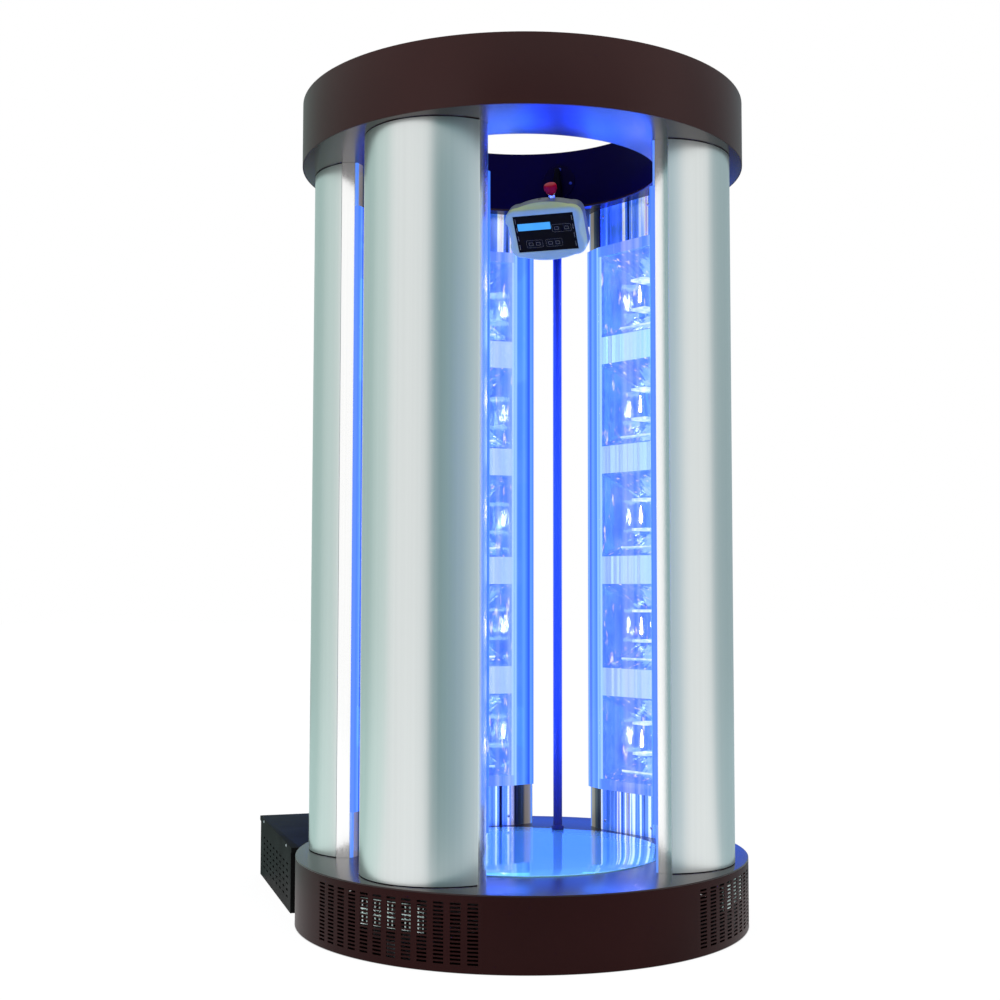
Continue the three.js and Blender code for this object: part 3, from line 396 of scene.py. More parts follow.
class Place:
    """A turned and moved set of axes that points are given in."""

    def __init__(self, right: Sequence, up: Sequence, out: Sequence, origin: Sequence = (0, 0, 0)) -> None:
        """Keeps the three axes, as rows, and where they start."""
        self.axes = np.array([right, up, out], float)
        self.origin = np.array(origin, float)

    def __call__(self, right: Lengths, up: Lengths, out: Lengths) -> np.ndarray:
        """Adds up the axes times the three coordinates, which may be arrays that fit each other.

        Args:
            right: Coordinates along the first axis.
            up: Coordinates along the second axis.
            out: Coordinates along the third axis.

        Returns:
            Points, with a last dimension of three.
        """
        local = np.stack(np.broadcast_arrays(right, up, out), axis=-1).astype(float)
        return local @ self.axes + self.origin


BOOTH_PLACE = Place((1, 0, 0), (0, 1, 0), (0, 0, 1))


def radial_place(angle: float) -> Place:
    """Axes of a station round the booth: across it, up, and outwards from the booth's axis.

    Args:
        angle: Degrees from the entrance, towards +X.

    Returns:
        The axes, which start on the booth's axis on the floor.
    """
    a = math.radians(angle)
    return Place((math.cos(a), math.sin(a), 0), (0, 0, 1), (math.sin(a), -math.cos(a), 0))


def turned(surface: Surface, loop: np.ndarray, place: Place, sides: int, closed: bool = True) -> Surface:
    """Carries a profile round an axis: (r cos a, r sin a, h) for every point (r, h) and angle a.

    Args:
        surface: Where the patch goes.
        loop: Profile as (radius, height) rows.
        place: Axes; the profile turns about the third.
        sides: Steps of the turn.
        closed: Whether the profile closes on itself; otherwise it starts and ends on the axis.

    Returns:
        The surface.
    """
    a = np.linspace(0, 2 * math.pi, sides, endpoint=False)
    radius, height = loop[:, :1], loop[:, 1:]
    points = place(radius * np.cos(a), radius * np.sin(a), height)
    return surface.patch(points, close_rows=closed, close_columns=True)


def walled(surface: Surface, front: np.ndarray, back: np.ndarray, low: float, high: float,
           place: Place) -> Surface:
    """Raises the strip between two lines of equal count into a closed wall.

    The loop front, then back reversed, is carried from the low to the high level, and both ends are closed by
    quads between the two lines.

    Args:
        surface: Where the patches go.
        front: First line, as (across, out) rows.
        back: Second line.
        low: Lower level.
        high: Upper level.
        place: Axes of across, up and out.

    Returns:
        The surface.
    """
    loop = np.vstack([front, back[::-1]])
    levels = np.array([[low, high]])
    surface.patch(place(loop[:, :1], levels, loop[:, 1:]), close_rows=True)
    both = np.stack([front, back])
    for level in (low, high):
        surface.patch(place(both[..., 0], level, both[..., 1]))
    return surface


def pierced(surface: Surface, front: np.ndarray, back: np.ndarray, keep: np.ndarray,
            close_rows: bool = False) -> Surface:
    """Adds a sheet with openings: a front and a back grid, and a wall along every edge of what is kept.

    Args:
        surface: Where the faces go.
        front: Points of one face, shaped (rows, columns, 3).
        back: Points of the other face.
        keep: Which cells of the grid are sheet, shaped (rows of cells, columns of cells).
        close_rows: Whether the last row joins the first.

    Returns:
        The surface.
    """
    behind = front.shape[0] * front.shape[1]
    quads = grid_quads(front.shape[0], front.shape[1], close_rows, False)
    faces = [quads[keep], quads[keep][:, ::-1] + behind]
    around = np.pad(keep, ((1, 1), (0, 0)), mode="wrap") if close_rows else np.pad(keep, ((1, 1), (0, 0)))
    around = np.pad(around, ((0, 0), (1, 1)))
    rows, columns = keep.shape
    for side, (down, along) in enumerate(((0, -1), (1, 0), (0, 1), (-1, 0))):
        next_to = around[1 + down:1 + down + rows, 1 + along:1 + along + columns]
        cells = quads[keep & ~next_to]
        start, end = cells[:, side], cells[:, (side + 1) % 4]
        faces.append(np.stack([end, start, start + behind, end + behind], axis=1))
    return surface.faces(np.stack([front, back]), np.vstack(faces))


def bar(surface: Surface, loop: np.ndarray, low: float, high: float, place: Place) -> Surface:
    """Raises a closed section into a solid bar with flat ends.

    Args:
        surface: Where the patches go.
        loop: Section, as (across, out) rows.
        low: Lower level.
        high: Upper level.
        place: Axes of across, up and out.

    Returns:
        The surface.
    """
    surface.patch(place(loop[:, :1], np.array([[low, high]]), loop[:, 1:]), close_rows=True)
    surface.polygon(place(loop[:, 0], low, loop[:, 1]))
    return surface.polygon(place(loop[:, 0], high, loop[:, 1]))


def block(surface: Surface, middle: Sequence, size: Sequence, place: Place) -> Surface:
    """Adds a box, as a square section raised along the second axis.

    Args:
        surface: Where the patches go.
        middle: Its middle, along the three axes.
        size: Its size along them.
        place: The axes.

    Returns:
        The surface.
    """
    half = np.array(size, float) / 2
    corners = np.array([(-1, -1), (1, -1), (1, 1), (-1, 1)], float)
    loop = corners * (half[0], half[2]) + (middle[0], middle[2])
    return bar(surface, loop, middle[1] - half[1], middle[1] + half[1], place)


@dataclass(frozen=True)
class Screw:
    """A domed screw head, by the radii of its rim and crest and the levels of foot, rim, crest and top."""

    rim: float
    crest: float
    foot: float
    rim_level: float
    crest_level: float
    top: float
    rounding: float
    sides: int = 14

    def add(self, surface: Surface, place: Place) -> None:
        """Turns the head about the third axis.

        Args:
            surface: Where the patch goes.
            place: Axes, which start on the face that the screw is in.
        """
        profile = fillet([(0, self.foot), (self.rim, self.foot), (self.rim, self.rim_level),
                          (self.crest, self.crest_level), (0, self.top)], self.rounding, 3)
        turned(surface, profile, place, self.sides, closed=False)


class Nodes:
    """The nodes of one material, with the few links that every finish uses."""

    def __init__(self, name: str) -> None:
        """Makes an empty material with its shader.

        Args:
            name: Name of the material.
        """
        self.material = bpy.data.materials.new(name)
        self.material.use_nodes = True
        self.tree = self.material.node_tree
        self.shader = self.tree.nodes["Principled BSDF"]

    def add(self, kind: str, **inputs: Any) -> bpy.types.Node:
        """Adds a node and sets its inputs; a name that is a property of the node sets that property.

        Args:
            kind: The node's type.
            **inputs: Values by the socket's name, with _ for a blank.

        Returns:
            The node.
        """
        node = self.tree.nodes.new(kind)
        for key, value in inputs.items():
            if key in node.bl_rna.properties:
                setattr(node, key, value)
            else:
                node.inputs[key.replace("_", " ")].default_value = value
        return node

    def link(self, source: Socket, target: Socket) -> None:
        """Links an output socket to an input socket."""
        self.tree.links.new(source, target)

    def give(self, value: Union[Socket, float], target: Socket) -> None:
        """Gives an input socket its value.

        Args:
            value: An output socket or a number.
            target: The input socket.
        """
        if isinstance(value, (int, float)):
            target.default_value = value
        else:
            self.link(value, target)

    def coordinates(self, stretch: Colour) -> Socket:
        """Reads the piece's own coordinates.

        Args:
            stretch: Factor along each axis.

        Returns:
            The stretched coordinates.
        """
        place = self.add("ShaderNodeTexCoord")
        mapping = self.add("ShaderNodeMapping", Scale=stretch)
        self.link(place.outputs["Object"], mapping.inputs["Vector"])
        return mapping.outputs["Vector"]

    def noise(self, scale: float, stretch: Colour = (1, 1, 1), detail: float = 3.0) -> Socket:
        """Makes smooth noise.

        Args:
            scale: Features to the metre.
            stretch: Factor along each axis.
            detail: How many times finer noise is added.

        Returns:
            The noise, from 0 to 1.
        """
        node = self.add("ShaderNodeTexNoise", Scale=scale, Detail=detail)
        self.link(self.coordinates(stretch), node.inputs["Vector"])
        return node.outputs["Fac"]

    def spread(self, value: Socket, low: float, high: float, start: float = 0.25, end: float = 0.75) -> Socket:
        """Maps a value from one range to another, and holds it within that.

        Args:
            value: The value.
            low: What start becomes.
            high: What end becomes.
            start: One end of the value's range.
            end: The other end.

        Returns:
            The mapped value.
        """
        node = self.add("ShaderNodeMapRange", From_Min=start, From_Max=end, To_Min=low, To_Max=high)
        self.link(value, node.inputs["Value"])
        return node.outputs["Result"]

    def math(self, operation: str, first: Union[Socket, float], second: Union[Socket, float] = 0.0) -> Socket:
        """Works out an operation on two values.

        Args:
            operation: The node's name for it.
            first: A socket or a number.
            second: A socket or a number.

        Returns:
            The result.
        """
        node = self.add("ShaderNodeMath", operation=operation)
        self.give(first, node.inputs[0])
        self.give(second, node.inputs[1])
        return node.outputs["Value"]

    def ramp(self, value: Socket, stops: Sequence) -> Socket:
        """Turns a value into a colour.

        Args:
            value: The value.
            stops: Pairs of (value, colour) that the colour runs through.

        Returns:
            The colour.
        """
        node = self.add("ShaderNodeValToRGB")
        ramp = node.color_ramp
        while len(ramp.elements) < len(stops):
            ramp.elements.new(1.0)
        for element, (place, colour) in zip(ramp.elements, stops):
            element.position = place
            element.color = (*colour, 1)
        self.link(value, node.inputs["Fac"])
        return node.outputs["Color"]

    def blend(self, share: Union[Socket, float], first: Socket, second: Socket, kind: str = "MIX") -> Socket:
        """Joins two colours.

        Args:
            share: How much of the second there is, as a socket or a number.
            first: First colour.
            second: Second colour.
            kind: How the node joins them.

        Returns:
            The joined colour.
        """
        node = self.add("ShaderNodeMixRGB", blend_type=kind)
        for name, value in (("Fac", share), ("Color1", first), ("Color2", second)):
            self.give(value, node.inputs[name])
        return node.outputs["Color"]

    def from_middle(self) -> Socket:
        """Returns a point's distance from its pillar's middle plane, which the piece keeps as "across"."""
        across = self.add("ShaderNodeAttribute", attribute_name="across")
        return self.math("ABSOLUTE", across.outputs["Fac"])

    def part(self, axis: str) -> Socket:
        """Reads one of the piece's own coordinates.

        Args:
            axis: X, Y or Z; Z is the height above the floor.

        Returns:
            The coordinate.
        """
        place, parts = self.add("ShaderNodeTexCoord"), self.add("ShaderNodeSeparateXYZ")
        self.link(place.outputs["Object"], parts.inputs["Vector"])
        return parts.outputs[axis]

    def from_end(self, low: float, high: float) -> Socket:
        """Works out the distance to the nearer of two levels.

        Args:
            low: Lower level.
            high: Upper level.

        Returns:
            The distance, above nought between the levels.
        """
        height = self.part("Z")
        return self.math("MINIMUM", self.math("SUBTRACT", height, low), self.math("SUBTRACT", high, height))

    def glow(self, colour: Socket, strength: float) -> None:
        """Lets the surface give light of its own.

        Args:
            colour: Colour of the light.
            strength: Its strength.
        """
        self.link(colour, self.shader.inputs["Emission Color"])
        self.shader.inputs["Emission Strength"].default_value = strength

    def bump(self, value: Socket, strength: float, distance: float) -> None:
        """Roughs the surface up by a value.

        Args:
            value: The value.
            strength: Share of the depth that shows.
            distance: Depth in metres.
        """
        node = self.add("ShaderNodeBump", Strength=strength, Distance=distance)
        self.link(value, node.inputs["Height"])
        self.link(node.outputs["Normal"], self.shader.inputs["Normal"])


@dataclass(frozen=True)
class Finish:
    """A plain finish: two close colours and a gloss that vary with noise, over a fine surface texture."""

    name: str
    colour: Colour
    shade: Colour
    gloss: tuple[float, float] = (0.3, 0.4)
    metallic: float = 0.0
    specular: float = 0.5
    grain: float = 6.0
    stretch: Colour = (1, 1, 1)
    texture: float = 700.0
    texture_stretch: Colour = (1, 1, 1)
    relief: float = 0.05
    relief_depth: float = 0.0004
    coat: float = 0.0
    coat_roughness: float = 0.1

    def material(self) -> bpy.types.Material:
        """Makes the material, the first time it is asked for.

        Returns:
            The finish's one material.
        """
        if self.name not in bpy.data.materials:
            self.dress(Nodes(self.name))
        return bpy.data.materials[self.name]

    def dress(self, nodes: Nodes) -> None:
        """Links colour, gloss and texture to the shader.

        Args:
            nodes: Nodes of the material.
        """
        shader = nodes.shader
        patch = nodes.noise(self.grain, self.stretch)
        nodes.link(nodes.ramp(patch, ((0.3, self.shade), (0.7, self.colour))), shader.inputs["Base Color"])
        nodes.link(nodes.spread(patch, *self.gloss), shader.inputs["Roughness"])
        shader.inputs["Metallic"].default_value = self.metallic
        shader.inputs["Specular IOR Level"].default_value = self.specular
        shader.inputs["Coat Weight"].default_value = self.coat
        shader.inputs["Coat Roughness"].default_value = self.coat_roughness
        nodes.bump(nodes.noise(self.texture, self.texture_stretch, 2.0), self.relief, self.relief_depth)


@dataclass(frozen=True)
class Glow(Finish):
    """A finish that also gives light, in a colour that varies with noise between two."""

    light: Colour = (1, 1, 1)
    light_shade: Colour = (1, 1, 1)
    strength: float = 1.0
    light_grain: float = 20.0

    def dress(self, nodes: Nodes) -> None:
        """Adds the light to the plain finish.

        Args:
            nodes: Nodes of the material.
        """
        super().dress(nodes)
        shade = nodes.noise(self.light_grain, (1, 1, 1), 4.0)
        colour = nodes.ramp(shade, ((0.35, self.light_shade), (0.65, self.light)))
        nodes.glow(colour, self.strength)


@dataclass(frozen=True)
class Quartz(Finish):
    """Thin clear quartz: nearly all see-through, with a blue sheen."""

    haze: float = 0.10

    def dress(self, nodes: Nodes) -> None:
        """Lets most of what is behind show through.

        Args:
            nodes: Nodes of the material.
        """
        super().dress(nodes)
        nodes.shader.inputs["Alpha"].default_value = self.haze


@dataclass(frozen=True)
class Reflector(Finish):
    """Crinkled bright sheet: a painted blue glow of its burner's light, with scattered white and pink painted glints.
    """

    strength: float = 1.0

    def dress(self, nodes: Nodes) -> None:
        """Adds crinkles, a painted glow and painted glints.

        Args:
            nodes: Nodes of the material.
        """
        super().dress(nodes)
        # painted glow: the burner's blue light on the sheet, in patches
        deep = nodes.ramp(nodes.noise(16.0, (1, 1, 0.6), 6.0), (
            (0.32, (0.004, 0.030, 0.45)),
            (0.46, (0.020, 0.110, 0.90)),
            (0.60, (0.090, 0.240, 1.00)),
            (0.72, (0.34, 0.42, 1.00)),
        ))
        # painted glints: white and pink flecks for the burner's reflections
        painted_glints = nodes.ramp(nodes.noise(58.0, (1, 1, 0.30), 3.0), (
            (0.60, (0, 0, 0)),
            (0.66, (0.9, 0.45, 0.65)),
            (0.72, (2.2, 1.9, 2.2)),
        ))
        nodes.glow(nodes.blend(1.0, deep, painted_glints, "ADD"), self.strength)
        nodes.bump(nodes.noise(70.0, (1, 1, 0.35), 3.0), 0.30, 0.003)


@dataclass(frozen=True)
class MirrorSheet(Finish):
    """Polished sheet whose roll marks draw reflections out upright, with painted reflections and a painted lamp haze.
    """

    low: float = BOOTH.cover_low
    high: float = BOOTH.cover_high
    # colour of the painted lamp haze behind the cover
    light: Colour = (0.35, 0.43, 0.66)
    bands: float = 30.0
    edge: float = BOOTH.pillar_half_width
    anisotropy: float = 0.9
    upright: float = 0.25

    def dress(self, nodes: Nodes) -> None:
        """Adds a painted lamp haze between the cover's ends, upright painted reflection bands at the bare ends, and
        the roll marks.

        Args:
            nodes: Nodes of the material.
        """
        super().dress(nodes)
        shader = nodes.shader
        shader.inputs["Anisotropic"].default_value = self.anisotropy
        shader.inputs["Anisotropic Rotation"].default_value = self.upright
        from_end = nodes.from_end(self.low, self.high)
        behind = nodes.spread(from_end, 0.0, 1.0, 0.0, 0.004)
        # painted reflections: upright pale, navy and beige bands in the colour and glow of the bare ends
        band = nodes.noise(self.bands, (1, 1, 0.01), 1.5)
        painted_reflection = nodes.ramp(band, (
            (0.30, (0.01, 0.01, 0.02)),
            (0.37, (0.02, 0.02, 0.05)),
            (0.40, (0.25, 0.35, 0.90)),
            (0.50, (0.40, 0.50, 1.00)),
            (0.53, (0.95, 0.97, 1.00)),
            (0.60, (0.85, 0.80, 0.95)),
            (0.63, (0.30, 0.40, 0.95)),
            (0.70, (0.55, 0.50, 0.45)),
        ))
        glow = nodes.ramp(band, (
            (0.37, (0.00, 0.00, 0.01)),
            (0.40, (0.02, 0.09, 0.45)),
            (0.50, (0.04, 0.14, 0.55)),
            (0.53, (0.55, 0.66, 0.62)),
            (0.60, (0.45, 0.36, 0.50)),
            (0.63, (0.03, 0.11, 0.50)),
            (0.70, (0.20, 0.17, 0.14)),
        ))
        # beside the cover: painted shade darker towards the fold, and a painted blue glow at the edge
        place = nodes.spread(nodes.from_middle(), 0.0, 1.0, 0.0, self.edge)
        dark = nodes.ramp(place, (
            (0.62, (0.00, 0.00, 0.02)),
            (0.80, (0.01, 0.02, 0.04)),
            (0.84, (0.16, 0.14, 0.12)),
            (0.93, (0.20, 0.18, 0.16)),
            (0.96, (0.08, 0.25, 0.90)),
        ))
        cheek = nodes.spread(place, 0.0, 1.0, 0.615, 0.635)
        grey = nodes.ramp(place, ((0.62, (0.02, 0.02, 0.03)), (1.0, (0.20, 0.20, 0.22))))
        painted_reflection, glow = nodes.blend(cheek, painted_reflection, grey), nodes.blend(cheek, glow, dark)
        plain = shader.inputs["Base Color"].links[0].from_socket
        nodes.link(nodes.blend(behind, painted_reflection, plain), shader.inputs["Base Color"])
        # painted lamp haze: a blue glow where the sheet lies behind the cover
        haze = nodes.ramp(behind, ((0.0, self.light), (1.0, self.light)))
        nodes.glow(nodes.blend(behind, glow, haze), 1.0)


@dataclass(frozen=True)
class ClearCover(Finish):
    """Clear acrylic over the lamps: see-through face, hazier cheeks and framed ends, painted blue lamp glow and
    streaks.
    """

    haze: float = 0.24
    cheek_haze: float = 1.0
    end_haze: float = 0.95
    low: float = BOOTH.cover_low
    high: float = BOOTH.cover_high
    frame_height: float = 0.030
    fold: float = BOOTH.cover_flat
    edge: float = BOOTH.pillar_half_width
    strength: float = 1.0

    def dress(self, nodes: Nodes) -> None:
        """Adds the haze beyond the folds and within a frame's height of either end, in upright streaks, a painted
        lamp glow and painted highlights.

        Args:
            nodes: Nodes of the material.
        """
        super().dress(nodes)
        shader = nodes.shader
        from_end = nodes.from_end(self.low, self.high)
        ends = nodes.spread(from_end, self.end_haze, 0.0, self.frame_height, self.frame_height + 0.002)
        from_middle = nodes.from_middle()
        cheek = nodes.spread(from_middle, self.haze, self.cheek_haze, self.fold - 0.006, self.fold + 0.002)
        streak = nodes.noise(30.0, (1, 1, 0.003), 3.0)
        alpha = nodes.math("ADD", nodes.math("MAXIMUM", ends, cheek), nodes.spread(streak, -0.16, 0.16))
        nodes.link(alpha, shader.inputs["Alpha"])
        place = nodes.spread(from_middle, 0.0, 1.0, 0.0, self.edge)
        # painted lamp glow: blue bands across the face and cheeks
        painted_lamp_glow = nodes.ramp(place, (
            (0.00, (0.12, 0.22, 1.0)),
            (0.56, (0.10, 0.26, 1.0)),
            (0.61, (0.13, 0.36, 1.0)),
            (0.635, (0.33, 0.62, 1.0)),
            (0.67, (0.05, 0.21, 1.0)),
            (0.75, (0.07, 0.25, 1.0)),
            (0.80, (0.12, 0.34, 1.0)),
            (0.86, (0.04, 0.18, 1.0)),
            (0.90, (0.012, 0.07, 0.75)),
            (0.93, (0.14, 0.36, 1.0)),
            (0.99, (0.05, 0.20, 1.0)),
        ))
        # painted highlights: pale upright streaks on the flat face
        flat = nodes.spread(from_middle, 1.0, 0.15, self.fold - 0.006, self.fold + 0.002)
        bright = nodes.math("MULTIPLY", nodes.spread(streak, 0.0, 1.0, 0.46, 0.68), flat)
        light = nodes.ramp(bright, ((0.0, (0, 0, 0)), (1.0, (0.22, 0.20, 0.31))))
        nodes.glow(nodes.blend(1.0, painted_lamp_glow, light, "ADD"), self.strength)


@dataclass(frozen=True)
class PaintedShadePoleCoat(Finish):
    """A coat with painted shade: it grows darker towards the pole's foot and its top."""

    low: float = BOOTH.floor_top
    high: float = BOOTH.pole_top
    painted_end_shades: tuple[tuple[float, Colour], ...] = (
        (0.00, (0.20, 0.08, 0.18)),
        (0.04, (0.30, 0.16, 0.34)),
        (0.20, (0.80, 0.75, 1.00)),
        (0.50, (1.00, 1.00, 1.00)),
        (0.65, (0.90, 0.85, 1.00)),
        (0.82, (0.40, 0.28, 0.46)),
        (1.00, (0.25, 0.16, 0.34)),
    )

    def dress(self, nodes: Nodes) -> None:
        """Paints shade onto the plain finish by height.

        Args:
            nodes: Nodes of the material.
        """
        super().dress(nodes)
        base = nodes.shader.inputs["Base Color"]
        shade = nodes.ramp(nodes.spread(nodes.part("Z"), 0.0, 1.0, self.low, self.high), self.painted_end_shades)
        nodes.link(nodes.blend(1.0, base.links[0].from_socket, shade, "MULTIPLY"), base)


@dataclass(frozen=True)
class Card(Finish):
    """A studio card that only mirrors see: its shade runs between two colours along X."""

    left: Colour = (0.5, 0.5, 0.5)
    right: Colour = (0.5, 0.5, 0.5)
    start: float = -1.0
    end: float = 1.0

    def dress(self, nodes: Nodes) -> None:
        """Makes the card black but for its own light.

        Args:
            nodes: Nodes of the material.
        """
        super().dress(nodes)
        along = nodes.spread(nodes.part("X"), 0.0, 1.0, self.start, self.end)
        nodes.glow(nodes.ramp(along, ((0.0, self.left), (1.0, self.right))), 1.0)


class Finishes:
    """Every finish of the booth."""

    BROWN = Finish("brown_coat", (0.033, 0.0095, 0.0090), (0.028, 0.0080, 0.0076), (0.34, 0.40), specular=0.17,
                   grain=3.0, texture=900.0, relief=0.06)
    # a darker copy of the brown coat: painted shade on the plinth below the crown
    SKIRT = Finish("plinth_painted_shade_coat", (0.027, 0.0070, 0.0068), (0.023, 0.0060, 0.0058), (0.36, 0.42), specular=0.06,
                   grain=3.0, texture=900.0, relief=0.06)
    DECK = Finish("deck_coat", (0.026, 0.010, 0.010), (0.022, 0.008, 0.008), (0.22, 0.26), specular=0.26,
                  grain=3.0, texture=900.0, relief=0.03, coat=0.10, coat_roughness=0.2)
    # painted shade and blue lamp light: the crown's inner wall and the bracket plate drawn dark navy
    INSIDE = Finish("crown_inside_painted_shade", (0.0025, 0.0008, 0.028), (0.002, 0.0006, 0.022), (0.4, 0.5), specular=0.02,
                    grain=4.0, texture=900.0, relief=0.05)
    PLATE = Finish("bracket_painted_shade", (0.0025, 0.0008, 0.018), (0.002, 0.0006, 0.014), (0.4, 0.5), specular=0.02,
                   grain=30.0, texture=900.0, relief=0.05)
    BOX = Finish("charcoal_coat", (0.0075, 0.0078, 0.0078), (0.0055, 0.0058, 0.0058), (0.55, 0.65), specular=0.04,
                 grain=8.0, texture=1200.0, relief=0.2)
    SHELL = Finish("satin_silver", (0.72, 0.755, 0.745), (0.69, 0.725, 0.715), (0.29, 0.33), metallic=1.0,
                   grain=90.0, stretch=(1, 1, 0.004), texture=1500.0, texture_stretch=(1, 1, 0.006), relief=0.04)
    PROFILE = Finish("bright_anodised", (0.98, 0.98, 0.97), (0.95, 0.955, 0.95), (0.14, 0.20), metallic=1.0,
                     grain=220.0, stretch=(1, 1, 0.003), texture=1500.0, texture_stretch=(1, 1, 0.005))
    MIRROR = MirrorSheet("mirror_sheet_polish", (0.90, 0.92, 0.97), (0.84, 0.88, 0.96), (0.20, 0.24), metallic=1.0,
                         grain=25.0, stretch=(1, 1, 0.02), texture=22.0, texture_stretch=(1, 1, 0.01),
                         relief=1.0, relief_depth=0.006)
    # blue metal colour and glow: painted burner light on the aluminium pans
    PAN = Reflector("crinkled_reflector", (0.40, 0.55, 1.0), (0.30, 0.42, 0.95), (0.10, 0.18), metallic=1.0,
                    grain=40.0, strength=0.50)
    BURNER = Glow("lit_quartz", (0.9, 0.88, 0.95), (0.85, 0.8, 0.9), (0.1, 0.2), light=(1.0, 0.90, 0.97),
                  light_shade=(1.0, 0.74, 0.86), strength=18.0, light_grain=90.0)
    QUARTZ = Quartz("clear_quartz", (0.30, 0.40, 1.0), (0.22, 0.30, 0.95), (0.04, 0.08), grain=60.0)
    # the glow paints the burners' light on the ceramic holders
    CERAMIC = Glow("ceramic", (0.75, 0.78, 0.85), (0.62, 0.66, 0.75), (0.45, 0.6), light=(0.95, 1.0, 1.0),
                   light_shade=(0.35, 0.55, 1.0), strength=1.3, light_grain=50.0, relief=0.15)
    COVER = ClearCover("clear_acrylic_sheet", (0.02, 0.04, 0.12), (0.015, 0.03, 0.10), (0.02, 0.04), grain=30.0,
                       stretch=(1, 1, 0.01), texture=14.0, texture_stretch=(1, 1, 0.02), relief=1.0,
                       relief_depth=0.004, specular=0.6)
    FLOOR = Finish("gloss_floor_sheet", (0.28, 0.78, 0.80), (0.24, 0.74, 0.77), (0.03, 0.06), specular=0.9,
                   grain=4.0, texture=30.0, relief=0.02, relief_depth=0.001, coat=0.8, coat_roughness=0.02)
    # the strong blue is partly painted blue lamp light on the pole's dark coat
    POLE = PaintedShadePoleCoat("blue_lit_pole_coat", (0.046, 0.155, 0.60), (0.038, 0.125, 0.50), (0.16, 0.24), specular=0.4,
                    grain=12.0, stretch=(1, 1, 0.1))
    SOCKET = Finish("black_moulding", (0.0015, 0.0012, 0.004), (0.0010, 0.0008, 0.003), (0.35, 0.5), grain=40.0,
                    relief=0.2, specular=0.02)
    HEAD = Finish("pale_moulding", (0.48, 0.58, 0.235), (0.44, 0.545, 0.22), (0.38, 0.48), grain=18.0,
                  texture=1600.0, relief=0.12, relief_depth=0.0003, specular=0.3)
    # a darker copy of the head's moulding: painted shade on the back half under the crown
    CASE = Finish("grey_moulding_painted_shade", (0.15, 0.18, 0.18), (0.13, 0.16, 0.16), (0.38, 0.48), grain=18.0,
                  texture=1600.0, relief=0.12, relief_depth=0.0003, specular=0.3)
    KEYPAD = Finish("black_film", (0.012, 0.008, 0.0010), (0.009, 0.006, 0.0008), (0.3, 0.4), grain=50.0,
                    relief=0.05, specular=0.02)
    KEY = Finish("key_film", (0.020, 0.014, 0.0020), (0.014, 0.010, 0.0015), (0.3, 0.4), grain=60.0, relief=0.1,
                 specular=0.03)
    PRINT = Finish("printed_line", (0.40, 0.33, 0.10), (0.28, 0.23, 0.07), (0.4, 0.5), grain=80.0)
    DISPLAY = Glow("lit_display", (0.01, 0.04, 0.08), (0.01, 0.03, 0.07), (0.1, 0.15), specular=0.1,
                   light=(0.075, 0.42, 0.92), light_shade=(0.06, 0.37, 0.88), strength=0.95, light_grain=30.0)
    RED = Finish("red_moulding", (0.40, 0.002, 0.020), (0.33, 0.0015, 0.014), (0.34, 0.42), grain=50.0, relief=0.06,
                 specular=0.06)
    COLLAR = Finish("turned_collar", (0.66, 0.70, 0.80), (0.56, 0.60, 0.70), (0.2, 0.3), metallic=1.0, grain=300.0)
    SCREW = Finish("zinc_screw", (0.62, 0.64, 0.68), (0.50, 0.52, 0.56), (0.25, 0.4), metallic=1.0, grain=300.0)
    # painted blue glints of the lamps on the plate screws
    BOLT = Finish("bolt_painted_blue_glint", (0.03, 0.05, 0.30), (0.02, 0.04, 0.24), (0.3, 0.4), specular=0.1, grain=300.0)
    STEEL = Finish("primed_steel", (0.10, 0.105, 0.11), (0.075, 0.08, 0.085), (0.5, 0.65), grain=25.0, relief=0.2)
    # the glow paints glints of light reaching the wire through the grille
    GUARD = Glow("wire_painted_glints", (0.80, 0.86, 0.86), (0.70, 0.76, 0.76), (0.2, 0.3), metallic=1.0, grain=200.0,
                 light=(0.42, 0.56, 0.52), light_shade=(0.0, 0.005, 0.01), strength=0.6, light_grain=45.0)
    FAN_FRAME = Finish("fan_casting", (0.040, 0.042, 0.045), (0.030, 0.032, 0.034), (0.5, 0.6), specular=0.1,
                       grain=60.0)
    FAN = Finish("fan_moulding", (0.015, 0.015, 0.016), (0.010, 0.010, 0.011), (0.4, 0.5), grain=60.0, relief=0.1)
    VOID = Finish("dark_recess", (0.004, 0.004, 0.005), (0.003, 0.003, 0.003), (0.6, 0.7), grain=30.0)


